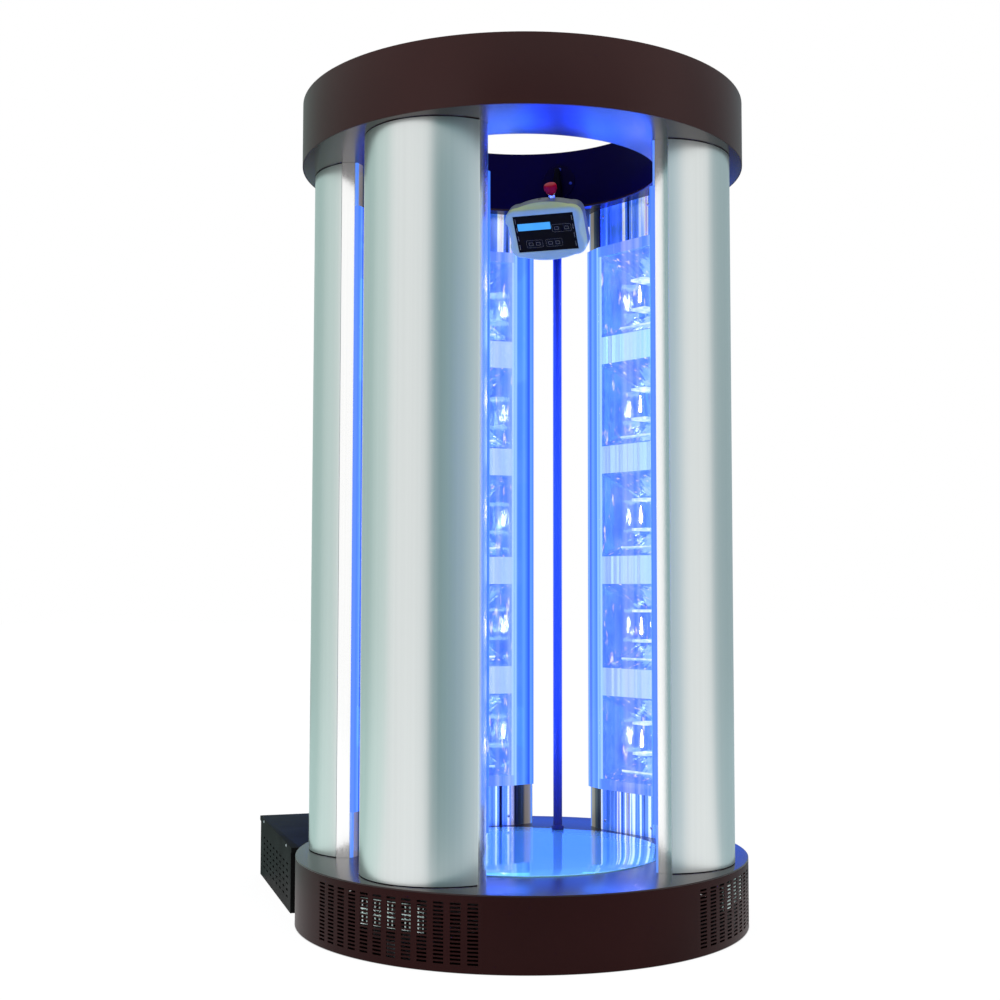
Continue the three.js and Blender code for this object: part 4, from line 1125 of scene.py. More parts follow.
@dataclass
class Pillar:
    """A lamp pillar: shell, side profiles, mirror sheet with reflector pans, burners and clear cover."""

    name: str
    angle: float
    half_width: float = BOOTH.pillar_half_width
    shell_radius: float = 0.205
    shell_centre: float = 0.400
    shell_half_arc: float = math.radians(63.839)
    shell_wall: float = 0.0025
    shell_lip: float = 0.012
    shell_lip_wall: float = 0.003
    shadow_joint: float = 0.0024
    shade_strip_setback: float = 0.003
    shade_strip_wall: float = 0.004
    shell_steps: int = 80
    profile_depth: float = 0.038
    profile_width: float = 0.012
    profile_round: float = 0.0015
    cover_rise: float = 0.035
    cover_flat: float = BOOTH.cover_flat
    cover_wall: float = 0.003
    cover_flange: float = 0.014
    cover_bend: float = 0.010
    cover_round: float = 0.006
    cover_end_points: int = 48
    cover_low: float = BOOTH.cover_low
    cover_high: float = BOOTH.cover_high
    panel_setback: float = 0.009
    panel_wall: float = 0.0015
    panel_fold: float = 0.006
    panel_round: float = 0.003
    panel_bend: float = 0.006
    window_width: float = 0.212
    window_height: float = 0.257
    window_pitch: float = 0.342
    windows: int = 5
    pan_depth: float = 0.108
    pan_waist: float = 0.74
    pan_waist_depth: float = 0.054
    pan_back: float = 0.46
    pan_points: tuple[int, int, int] = (7, 8, 21)
    crinkle: float = 0.0012
    flutes: tuple[float, float] = (31.0, 57.0)
    sways: tuple[float, float] = (1.4, 2.0)
    sway_waves: tuple[float, float] = (6.0, 9.0)
    fine_share: float = 0.5
    burner_radius: float = 0.0095
    burner_length: float = 0.084
    burner_forward: float = 0.046
    burner_stub: float = 0.004
    burner_pinch: float = 0.0045
    burner_neck: float = 0.012
    burner_taper: tuple[float, float] = (0.004, 0.006)
    burner_round: float = 0.003
    burner_sides: int = 20
    arc_radius: float = 0.0035
    arc_length: float = 0.052
    arc_shape: tuple[tuple[float, float], ...] = (
        (0, -1), (0.7, -1), (1.5, -0.75), (0.9, -0.35), (1.1, 0.1), (0.5, 0.6), (0.4, 1), (0, 1))
    holder_width: float = 0.060
    holder_height: float = 0.008
    holder_forward: float = 0.010
    holder_round: float = 0.0012
    lip_width: float = 0.130
    lip_drop: float = 0.100
    lip_depth: float = 0.043
    lip_height: float = 0.005
    lip_wall: float = 0.006
    rail_behind: float = 0.020
    rail_depth: float = 0.012
    rail_width: float = 0.040
    screw: Screw = Screw(0.0045, 0.0027, -0.001, 0.0008, 0.0022, 0.0024, 0.0008)
    screw_across: float = 0.097
    screw_from_end: float = 0.028

    def __post_init__(self) -> None:
        """Works out the axes and the levels that follow from the sizes."""
        self.place = radial_place(self.angle)
        self.corner = self.shell_centre + self.shell_radius * math.cos(self.shell_half_arc)
        self.profile_front = self.corner - self.profile_depth
        self.edge = self.profile_front - BOOTH.seat_gap
        self.cover_face = self.profile_front - self.cover_rise
        self.panel_face = self.cover_face + self.panel_setback
        self.burner_out = self.panel_face + self.pan_depth - self.burner_forward
        self.rail_front = self.panel_face + self.pan_depth + self.rail_behind
        self.foot = BOOTH.deck_top + BOOTH.seat_gap
        self.head = BOOTH.soffit - BOOTH.seat_gap
        middle = (self.cover_low + self.cover_high) / 2
        self.window_heights = middle + centred(self.windows, self.window_pitch)

    def build(self) -> None:
        """Builds every piece of the pillar."""
        self.shell()
        self.joint_shade_strips()
        self.profile(Edge.LEFT, "a")
        self.profile(Edge.RIGHT, "b")
        self.mirror_sheet()
        self.pans()
        self.burners()
        self.holders()
        self.cover()
        self.screws()

    def arc(self, radius: float, half: float) -> np.ndarray:
        """Draws an arc about the shell's centre: (r sin a, centre + r cos a) for angles a from -half to half.

        Args:
            radius: Its radius.
            half: Half its angle.

        Returns:
            Points as (across, out) rows.
        """
        a = np.linspace(-half, half, self.shell_steps + 1)
        return np.stack([radius * np.sin(a), self.shell_centre + radius * np.cos(a)], axis=1)

    def shell(self) -> None:
        """Builds the curved shell: an arc with a lip turned in at each edge, one wall thick."""
        lip = self.half_width - self.shell_lip
        inner_radius = self.shell_radius - self.shell_wall
        inner_level = self.corner + self.shell_lip_wall
        inner_half = math.acos((inner_level - self.shell_centre) / inner_radius)
        outer = np.vstack([(-lip, self.corner), self.arc(self.shell_radius, self.shell_half_arc),
                           (lip, self.corner)])
        inner = np.vstack([(-lip, inner_level), self.arc(inner_radius, inner_half), (lip, inner_level)])
        low, high = BOOTH.deck_top + self.shadow_joint, BOOTH.soffit - self.shadow_joint
        surface = walled(Surface(), outer, inner, low, high, self.place)
        surface.build(f"{self.name}_satin_shell", Finishes.SHELL, Slot.SHELL, [f"{self.name}_shell"])

    def joint_shade_strips(self) -> None:
        """Builds the dark strips that close the open joints at both ends of the shell, set back a little, as painted
        shade of the joints.
        """
        surface = Surface()
        radius = self.shell_radius - self.shade_strip_setback
        lines = self.arc(radius, self.shell_half_arc), self.arc(radius - self.shade_strip_wall, self.shell_half_arc)
        for low in (BOOTH.deck_top, BOOTH.soffit - self.shadow_joint):
            walled(surface, *lines, low + BOOTH.seat_gap, low + self.shadow_joint - BOOTH.seat_gap, self.place)
        surface.build(f"{self.name}_joint_painted_shade", Finishes.SOCKET, Slot.BLACK)

    def profile(self, edge: Edge, letter: str) -> None:
        """Builds a side profile: a flat bar with rounded edges.

        Args:
            edge: Which edge of the pillar it sits on.
            letter: Letter of the CAD node that it stands for.
        """
        back = self.corner - BOOTH.seat_gap
        inner = self.half_width - self.profile_width
        corners = np.array([(inner, self.profile_front), (self.half_width, self.profile_front),
                            (self.half_width, back), (inner, back)])
        loop = fillet(corners, self.profile_round, 4, closed=True) * (edge.value, 1)
        surface = bar(Surface(), loop, self.foot, self.head, self.place)
        name = f"{self.name}_bright_profile_{letter}"
        surface.build(name, Finishes.PROFILE, Slot.PROFILE, [f"{self.name}_profile_{letter}"])

    def panel_line(self, forward: float = 0.0) -> np.ndarray:
        """Draws the mirror sheet's front line.

        Args:
            forward: How far the line is moved towards the cabin.

        Returns:
            Points as (across, out) rows.
        """
        side = self.half_width - self.cover_wall - BOOTH.seat_gap
        fold = self.edge - self.panel_fold - forward
        half = fillet([(-side, self.edge), (-side, fold), (-self.cover_flat, self.panel_face - forward),
                       (0, self.panel_face - forward)], [0, self.panel_round, self.panel_bend, 0], 4)
        return mirrored(half[:-1])

    def mirror_sheet(self) -> None:
        """Builds the folded mirror sheet, a section carried upwards, with an opening for each window."""
        line = self.panel_line()
        half = len(line) // 2
        rim = np.array([(-self.window_width / 2, self.panel_face), (self.window_width / 2, self.panel_face)])
        line = np.vstack([line[:half], rim, line[half:]])
        edges = both_ends(self.window_heights, self.window_height)
        levels = np.concatenate([[self.foot], edges, [self.head]])
        keep = np.ones((len(line) - 1, len(levels) - 1), bool)
        keep[half, 1::2] = False
        back = offset(line, self.panel_wall)
        front, back = (self.place(side[:, :1], levels[None, :], side[:, 1:]) for side in (line, back))
        surface = pierced(Surface(), front, back, keep)
        piece = surface.build(f"{self.name}_mirror_sheet", Finishes.MIRROR, Slot.MIRROR,
                              [f"{self.name}_mirror_panel"])
        self.note_across(piece)

    def pans(self) -> None:
        """Builds the reflector pans behind the windows.

        On a square of s and t from -1 to 1, the depth is a two-slope function of max(|s|, |t|), and two sines
        of s whose phase sways with t flute it, fading to nothing at the rim.
        """
        rim, flank, back = self.pan_points
        slopes = np.concatenate([np.linspace(self.pan_waist, 1, rim),
                                 np.linspace(self.pan_back, self.pan_waist, flank)])
        flat = np.linspace(-1, 1, back) * self.pan_back
        line = np.unique(np.round(np.concatenate([-slopes, flat, slopes]), 9))
        s, t = np.meshgrid(line, line, indexing="ij")
        reach = np.maximum(np.abs(s), np.abs(t))
        depth = np.interp(reach, [0, self.pan_back, self.pan_waist, 1],
                          [self.pan_depth, self.pan_depth, self.pan_waist_depth, 0])
        surface = Surface()
        (coarse, fine), (sway, fine_sway), (slow, quick) = self.flutes, self.sways, self.sway_waves
        for number, middle in enumerate(self.window_heights):
            wave = (np.sin(coarse * s + sway * np.sin(slow * t + number) + 2 * number)
                    + self.fine_share * np.sin(fine * s - fine_sway * np.sin(quick * t - 2 * number)))
            out = self.panel_face + depth + self.crinkle * wave * (1 - reach) ** 0.5
            surface.patch(self.place(s * self.window_width / 2, middle + t * self.window_height / 2, out))
        piece = surface.build(f"{self.name}_reflector_pans", Finishes.PAN, Slot.MIRROR, turn=False)
        thicken(piece, self.panel_wall)

    def burners(self) -> None:
        """Builds the burners: a clear tube pinched at both ends, and the bright arc inside it, both turned."""
        end = self.burner_length / 2
        neck = end - self.burner_neck
        thin, wide = self.burner_taper
        upper = np.array([(self.burner_radius, neck - wide), (self.burner_pinch, neck + thin),
                          (self.burner_stub, end), (0, end)])
        tube = fillet(np.vstack([upper[::-1] * (1, -1), upper]), self.burner_round, 4)
        core = fillet(np.array(self.arc_shape) * (self.arc_radius, self.arc_length / 2), self.burner_round, 3)
        across, up, out = self.place.axes
        for name, profile, finish in (("quartz", tube, Finishes.QUARTZ), ("arcs", core, Finishes.BURNER)):
            surface = Surface()
            for middle in self.window_heights:
                axis = Place(across, out, up, out * self.burner_out + up * middle)
                turned(surface, profile, axis, self.burner_sides, closed=False)
            surface.build(f"{self.name}_{name}", finish, Slot.LAMP)

    def holders(self) -> None:
        """Builds the ceramic holders at both ends of each burner, on one rail, and the bar under each burner."""
        surface = Surface()
        front = self.burner_out - self.holder_forward
        depth = self.rail_front - front
        for height in both_ends(self.window_heights, self.burner_length + self.holder_height):
            block(surface, (0, height, front + depth / 2), (self.holder_width, self.holder_height, depth), self.place)
        for height in self.window_heights - self.lip_drop:
            block(surface, (0, height, self.panel_face + self.lip_depth),
                  (self.lip_width, self.lip_height, self.lip_wall), self.place)
        middle = (self.foot + self.head) / 2
        rail_out = self.rail_front + self.rail_depth / 2
        block(surface, (0, middle, rail_out), (self.rail_width, self.head - self.foot, self.rail_depth), self.place)
        piece = surface.build(f"{self.name}_lamp_holders", Finishes.CERAMIC, Slot.LAMP, [f"{self.name}_lamp_bank"])
        round_edges(piece, self.holder_round)

    def cover(self) -> None:
        """Builds the clear cover: a folded tray one wall thick, with a plate across each end."""
        half = [(-self.half_width, self.edge), (-self.half_width, self.edge - self.cover_flange),
                (-self.cover_flat, self.cover_face), (0, self.cover_face)]
        outer = mirrored(fillet(half, [0, self.cover_round, self.cover_bend, 0], 6)[:-1])
        inner = offset(outer, self.cover_wall)
        surface = walled(Surface(), outer, inner, self.cover_low, self.cover_high, self.place)
        lines = [resample(line, self.cover_end_points) for line in (inner, self.panel_line(BOOTH.seat_gap))]
        for low in (self.cover_low, self.cover_high - self.cover_wall):
            walled(surface, *lines, low, low + self.cover_wall, self.place)
        piece = surface.build(f"{self.name}_clear_cover", Finishes.COVER, Slot.ACRYLIC,
                              [f"{self.name}_lamp_cover"])
        self.note_across(piece)

    def note_across(self, piece: bpy.types.Object) -> None:
        """Keeps each point's distance from the pillar's middle plane as the attribute "across".

        Args:
            piece: A piece of the pillar.
        """
        mesh = piece.data
        flat = np.zeros(len(mesh.vertices) * 3, np.float32)
        mesh.vertices.foreach_get("co", flat)
        across = flat.reshape(-1, 3) @ self.place.axes[0]
        mesh.attributes.new("across", "FLOAT", "POINT").data.foreach_set("value", across.astype(np.float32))

    def screws(self) -> None:
        """Builds the domed screws in the bare ends of the mirror sheet."""
        surface = Surface()
        across, up, out = self.place.axes
        for side in (-self.screw_across, self.screw_across):
            for height in (self.foot + self.screw_from_end, self.head - self.screw_from_end):
                origin = across * side + up * height + out * self.panel_face
                self.screw.add(surface, Place(across, up, -out, origin))
        surface.build(f"{self.name}_sheet_screws", Finishes.SCREW, Slot.PROFILE)


@dataclass
class Crown:
    """The crown ring: outer band, soffit with its inner wall, and the lid between them."""

    flange: float = 0.027
    edge_round: float = 0.003
    fold_round: float = 0.001
    seam_round: float = 0.0005

    def build(self) -> None:
        """Builds the three rings, each a profile turned about the booth's axis."""
        wall = BOOTH.radius - BOOTH.sheet
        rim = wall - BOOTH.seat_gap
        low, top, sheet = BOOTH.soffit, BOOTH.crown_top, BOOTH.sheet
        lip = wall - self.flange
        band = [(wall, low), (BOOTH.radius, low), (BOOTH.radius, top), (lip, top), (lip, top - sheet),
                (wall, top - sheet)]
        hole = BOOTH.hole_radius
        bend = low + 2 * sheet
        soffit = [(hole, low), (rim, low), (rim, low + sheet), (hole + sheet, low + sheet), (hole + sheet, bend),
                  (hole, bend)]
        inside = [(hole, bend), (hole + sheet, bend), (hole + sheet, top), (hole, top)]
        lid_top = top - sheet - BOOTH.seat_gap
        lid_inner = hole + sheet + BOOTH.seat_gap
        lid = [(lid_inner, lid_top - sheet), (rim, lid_top - sheet), (rim, lid_top), (lid_inner, lid_top)]
        r, fold, seam = self.edge_round, self.fold_round, self.seam_round
        self.ring("crown_outer_band", band, [seam, r, r, seam, seam, fold], Finishes.BROWN, "crown_band")
        self.ring("crown_under_ring", soffit, [r, seam, seam, fold, 0, 0], Finishes.DECK, "crown_soffit")
        self.ring("crown_inner_wall", inside, [0, 0, fold, fold], Finishes.INSIDE, "crown_soffit")
        self.ring("crown_top_lid", lid, [seam] * 4, Finishes.BROWN, "crown_lid")

    def ring(self, name: str, corners: Sequence, rounding: Sequence[float], finish: Finish, node: str) -> None:
        """Turns one ring.

        Args:
            name: Name of the piece.
            corners: Its profile, as (radius, height) rows.
            rounding: Radius at each corner.
            finish: What it is made of.
            node: CAD node that it stands for.
        """
        loop = fillet(corners, rounding, 4, closed=True)
        turned(Surface(), loop, BOOTH_PLACE, BOOTH.round_sides).build(name, finish, Slot.BROWN, [node])


@dataclass
class Plinth:
    """The plinth: skirt with two punched grilles, deck, standing floor, and what shows of its inside."""

    low: float = 0.0015
    deck_wall: float = 0.0037
    ledge: float = 0.023
    ledge_wall: float = 0.004
    floor_thickness: float = 0.0107
    floor_ring: float = 0.3
    fold_round: float = 0.001
    under_round: float = 0.0008
    rim_round: float = 0.0018
    seam_round: float = 0.0005
    grille_angle: float = 50.4
    columns: int = 12
    column_pitch: float = 3.96
    slot_length: float = 0.027
    rows: int = 16
    row_pitch: float = 0.0094
    slot_height: float = 0.0052
    grille_low: float = 0.0170
    grille_high: float = 0.1690
    grille_centre: float = 0.093
    skirt_step: float = 2.4
    guard_level: float = 0.114
    guard_out: float = 0.6035
    guard_wire: float = 0.0018
    wire_sides: int = 6
    guard_width: float = 0.200
    guard_height: float = 0.062
    guard_columns: int = 16
    guard_rows: int = 6

    def build(self) -> None:
        """Builds every piece of the plinth and dresses the solids inside it."""
        self.deck()
        self.floor()
        self.skirt()
        for side, sign in (("right", 1), ("left", -1)):
            self.grille(side, sign * self.grille_angle)
            self.guard(side, sign * self.grille_angle)
            dress_node(f"fan_housing_{side}", Finishes.FAN_FRAME)
            dress_node(f"fan_impeller_{side}", Finishes.FAN)
        dress_node("base_frame", Finishes.STEEL)

    def guard(self, side: str, angle: float) -> None:
        """Builds the wire mesh before a fan: upright wires, and level ones behind them.

        Args:
            side: Side of the entrance, for the name.
            angle: Degrees from the entrance to the fan.
        """
        across, up, out = radial_place(angle).axes
        front = Place(across, up, out, out * self.guard_out + up * self.guard_level)
        behind = Place(up, across, out, front.origin - out * 2 * self.guard_wire)
        turn = np.linspace(0, 2 * math.pi, self.wire_sides, endpoint=False)
        section = self.guard_wire * np.stack([np.cos(turn), np.sin(turn)], axis=1)
        surface = Surface()
        width, height = self.guard_width / 2, self.guard_height / 2
        for place, count, reach, length in ((front, self.guard_columns, width, height),
                                            (behind, self.guard_rows, height, width)):
            for step in np.linspace(-reach, reach, count):
                bar(surface, section + (step, 0.0), -length, length, place)
        surface.build(f"fan_guard_{side}", Finishes.GUARD, Slot.FAN_FRAME)

    def deck(self) -> None:
        """Turns the deck ring, with the ledge that the standing floor rests on."""
        under = BOOTH.deck_top - self.deck_wall
        ledge_top = BOOTH.floor_top - self.floor_thickness - BOOTH.seat_gap
        inner, lip = BOOTH.floor_radius - self.ledge, BOOTH.floor_radius + self.ledge_wall
        corners = [(inner, ledge_top - self.ledge_wall), (lip, ledge_top - self.ledge_wall), (lip, under),
                   (BOOTH.radius, under), (BOOTH.radius, BOOTH.deck_top), (BOOTH.floor_radius, BOOTH.deck_top),
                   (BOOTH.floor_radius, ledge_top), (inner, ledge_top)]
        fold = self.fold_round
        rounding = [fold, fold, fold, self.under_round, self.rim_round, fold, self.seam_round, fold]
        surface = turned(Surface(), fillet(corners, rounding, 4, closed=True), BOOTH_PLACE, BOOTH.round_sides)
        surface.build("deck_disc", Finishes.DECK, Slot.BROWN, ["deck_ring"])

    def floor(self) -> None:
        """Turns the standing floor, with a rounded upper edge."""
        edge = BOOTH.floor_radius - BOOTH.seat_gap
        under = BOOTH.floor_top - self.floor_thickness
        corners = [(0, under), (edge, under), (edge, BOOTH.floor_top), (self.floor_ring, BOOTH.floor_top),
                   (0, BOOTH.floor_top)]
        profile = fillet(corners, [0, self.seam_round, self.rim_round, self.fold_round, 0], 4)
        surface = turned(Surface(), profile, BOOTH_PLACE, BOOTH.round_sides, closed=False)
        surface.build("standing_floor", Finishes.FLOOR, Slot.FLOOR, ["floor_plate"])

    def wall(self, angles: np.ndarray, levels: np.ndarray, keep: np.ndarray, close: bool) -> Surface:
        """Builds part of the round wall, one sheet thick: (r sin a, -r cos a, z) for both radii r.

        Args:
            angles: Degrees from the entrance.
            levels: Heights.
            keep: Which cells between them are sheet.
            close: Whether the wall goes all the way round.

        Returns:
            A new surface.
        """
        a = np.radians(angles)[:, None]
        faces = [BOOTH_PLACE(r * np.sin(a), -r * np.cos(a), levels[None, :])
                 for r in (BOOTH.radius, BOOTH.radius - BOOTH.sheet)]
        return pierced(Surface(), *faces, keep, close)

    def grille_lines(self) -> np.ndarray:
        """Works out the angles of a grille's edges and of its slots' ends.

        Returns:
            Degrees from the grille's middle.
        """
        slot = math.degrees(self.slot_length / BOOTH.radius)
        half = self.columns * self.column_pitch / 2
        return np.concatenate([[-half], both_ends(centred(self.columns, self.column_pitch), slot), [half]])

    def skirt(self) -> None:
        """Builds the skirt: a grid of angles and levels without the cells of the two grille windows."""
        lines = self.grille_lines()
        windows = np.concatenate([lines + self.grille_angle, lines - self.grille_angle])
        even = np.linspace(-180, 180, round(360 / self.skirt_step) + 1)[:-1]
        inside = np.abs(np.abs(even) - self.grille_angle) < lines[-1] + self.skirt_step / 3
        angles = np.unique(np.round(np.concatenate([even[~inside], windows]), 6))
        top = BOOTH.deck_top - self.deck_wall - BOOTH.seat_gap
        levels = np.array([self.low, self.grille_low, self.grille_high, top])
        middle = angles + np.diff(np.append(angles, angles[0] + 360)) / 2
        keep = np.ones((len(angles), 3), bool)
        keep[np.abs(np.abs(middle) - self.grille_angle) < lines[-1], 1] = False
        surface = self.wall(angles, levels, keep, True)
        surface.build("skirt_band", Finishes.SKIRT, Slot.BROWN, ["plinth_skirt"])

    def grille(self, side: str, angle: float) -> None:
        """Builds a punched grille: a grid whose lines are the slots' edges, without the slots' own cells.

        Args:
            side: Side of the entrance, for the name.
            angle: Degrees from the entrance to its middle.
        """
        up = both_ends(self.grille_centre + centred(self.rows, self.row_pitch), self.slot_height)
        levels = np.concatenate([[self.grille_low], up, [self.grille_high]])
        lines = self.grille_lines()
        keep = np.ones((len(lines) - 1, len(levels) - 1), bool)
        keep[1::2, 1::2] = False
        surface = self.wall(lines + angle, levels, keep, False)
        surface.build(f"punched_grille_{side}", Finishes.SKIRT, Slot.BROWN, [f"intake_grille_{side}"])


@dataclass
class BallastBox:
    """The box behind the plinth: vented casing, lid with a lip, and the chokes inside."""

    left: float = -0.615
    right: float = -0.100
    front: float = 0.215
    rear: float = 0.850
    height: float = 0.187
    wall: float = 0.002
    recess: float = 0.018
    lip: float = 0.015
    edge_roll: float = 0.002
    roll_share: float = 0.3
    vent_rows: int = 6
    vent_columns: int = 8
    vent_length: float = 0.030
    vent_height: float = 0.006
    vent_column_pitch: float = 0.066
    vent_row_pitch: float = 0.0185
    vent_centre: float = 0.082
    arc_steps: int = 40
    screw: Screw = Screw(0.004, 0.0025, -0.001, 0.0006, 0.0018, 0.002, 0.0006)
    screw_from_end: float = 0.09

    def build(self) -> None:
        """Builds the casing and lid and dresses the chokes."""
        self.casing()
        self.lid()
        self.lid_screws()
        dress_node("ballast_bank", Finishes.STEEL)

    def plan(self, inset: float, front_inset: float) -> np.ndarray:
        """Plan of the box, drawn in from its outer faces: three straight sides and an arc that fits the plinth.

        Args:
            inset: How far the sides are drawn in.
            front_inset: How far the front is drawn in.

        Returns:
            A loop of (x, y) rows: rear left, front left, the arc, rear right.
        """
        front, right = self.front + front_inset, self.right - inset
        fit = BOOTH.radius + BOOTH.seat_gap + inset
        a = np.linspace(math.pi - math.asin(front / fit), math.acos(right / fit), self.arc_steps + 1)
        arc = np.stack([fit * np.cos(a), fit * np.sin(a)], axis=1)
        left, rear = self.left + inset, self.rear - inset
        return np.vstack([(left, rear), (left, front), arc, (right, rear)])

    def casing(self) -> None:
        """Builds the casing: the plan raised to a wall with vents in its left side, and a bottom plate."""
        inset = self.wall + BOOTH.seat_gap
        top = self.height - self.wall - BOOTH.seat_gap
        middle = (self.front + self.rear) / 2
        columns = middle + centred(self.vent_columns, self.vent_column_pitch)
        rows = self.vent_centre + centred(self.vent_rows, self.vent_row_pitch)
        y = both_ends(columns, self.vent_length)[::-1]
        z = np.concatenate([[0.0], both_ends(rows, self.vent_height), [top]])
        sides = []
        for depth in (inset, inset + self.wall):
            plan = self.plan(depth, depth + self.recess)
            vents = np.stack([np.full_like(y, plan[0, 0]), y], axis=1)
            loop = np.vstack([plan[:1], vents, plan[1:]])
            sides.append(BOOTH_PLACE(loop[:, :1], loop[:, 1:], z[None, :]))
        keep = np.ones((sides[0].shape[0], len(z) - 1), bool)
        keep[1:2 * self.vent_columns:2, 1::2] = False
        surface = pierced(Surface(), *sides, keep, True)
        flat = Place((1, 0, 0), (0, 0, 1), (0, 1, 0))
        bar(surface, plan, 0.0, self.wall, flat)
        surface.build("vented_casing", Finishes.BOX, Slot.BROWN, ["box_casing"])

    def lid(self) -> None:
        """Builds the lid: the plan as a flat top with a rolled edge and a lip folded down all round."""
        low, high, roll = self.height - self.lip, self.height, self.edge_roll
        bend = roll * self.roll_share
        rows = [(self.wall, high - self.wall), (self.wall, low), (0.0, low), (0.0, high - roll),
                (bend, high - bend), (roll, high)]
        plans = np.stack([self.plan(inset, inset) for inset, _ in rows])
        levels = np.array([level for _, level in rows])[:, None]
        points = BOOTH_PLACE(plans[..., 0], plans[..., 1], levels)
        surface = Surface().patch(points, close_columns=True)
        surface.polygon(points[0]).polygon(points[-1])
        surface.build("folded_lid", Finishes.BOX, Slot.BROWN, ["box_lid"])

    def lid_screws(self) -> None:
        """Builds the screws that hold the lid's lip, two on the left and two at the rear."""
        surface = Surface()
        level, step = self.height - self.lip / 2, self.screw_from_end
        for y in (self.front + step, self.rear - step):
            self.screw.add(surface, Place((0, 1, 0), (0, 0, 1), (-1, 0, 0), (self.left, y, level)))
        for x in (self.left + step, self.right - step):
            self.screw.add(surface, Place((1, 0, 0), (0, 0, 1), (0, 1, 0), (x, self.rear, level)))
        surface.build("lid_screws", Finishes.SCREW, Slot.PROFILE)


@dataclass
class Pole:
    """The pole of the control head, with its foot flange and the socket that holds its top."""

    angle: float = BOOTH.pole_angle
    place_radius: float = BOOTH.pole_place
    radius: float = BOOTH.pole_radius
    top: float = BOOTH.pole_top
    foot_radius: float = 0.0185
    foot_height: float = 0.012
    socket_height: float = 0.097
    socket_radius: float = 0.020
    tip_radius: float = 0.008
    plate_radius: float = 0.052
    plate_wall: float = 0.003
    plate_level: float = 2.200
    crown_sides: int = 44
    pole_sides: int = 48
    pole_rounds: tuple[float, ...] = (0, 0.0005, 0.003, 0.004, 0.001, 0)
    socket_sides: int = 40
    socket_rounds: tuple[float, ...] = (0, 0.002, 0.007, 0)
    plate_sides: int = 56
    plate_rounds: tuple[float, ...] = (0, 0.0003, 0.0015, 0)
    screw: Screw = Screw(0.005, 0.003, 0, 0.001, 0.0025, 0.0028, 0.0008)
    screw_turns: tuple[float, ...] = (96, 190, 350)
    screw_circle: float = 0.040

    def build(self) -> None:
        """Builds the pole and its bracket."""
        across, up, out = radial_place(self.angle).axes
        upright = Place(across, out, up, out * self.place_radius)
        foot = BOOTH.floor_top + BOOTH.seat_gap
        flange = foot + self.foot_height
        top = self.top - BOOTH.seat_gap
        profile = fillet([(0, foot), (self.foot_radius, foot), (self.foot_radius, flange), (self.radius, flange),
                          (self.radius, top), (0, top)], self.pole_rounds, 5)
        pole = turned(Surface(), profile, upright, self.pole_sides, closed=False)
        pole.build("head_pole", Finishes.POLE, Slot.POLE, ["pole"])
        tip = self.top + self.socket_height
        cone = fillet([(0, self.top), (self.socket_radius, self.top), (self.tip_radius, tip), (0, tip)],
                      self.socket_rounds, 6)
        socket = turned(Surface(), cone, upright, self.socket_sides, closed=False)
        socket.build("pole_socket", Finishes.SOCKET, Slot.BLACK, ["pole_bracket"])
        flat = BOOTH.hole_radius * math.cos(math.pi / self.crown_sides)
        back = math.sqrt(flat**2 - self.plate_radius**2) - BOOTH.seat_gap
        r, wall = self.plate_radius, self.plate_wall
        disc = fillet([(0, 0), (r, 0), (r, wall), (0, wall)], self.plate_rounds, 4)
        inward = Place(across, up, -out, out * back + up * self.plate_level)
        plate = turned(Surface(), disc, inward, self.plate_sides, closed=False)
        plate.build("socket_plate", Finishes.PLATE, Slot.BLACK, ["pole_bracket"])
        self.plate_screws(inward)

    def plate_screws(self, inward: Place) -> None:
        """Builds the three screws of the wall plate, spread round its edge.

        Args:
            inward: Axes of the plate; the third points into the cabin.
        """
        surface = Surface()
        for turn in np.radians(self.screw_turns):
            step = inward.axes[0] * math.cos(turn) + inward.axes[1] * math.sin(turn)
            origin = inward.origin + step * self.screw_circle + inward.axes[2] * self.plate_wall
            self.screw.add(surface, Place(*inward.axes, origin))
        surface.build("plate_screws", Finishes.BOLT, Slot.PROFILE)


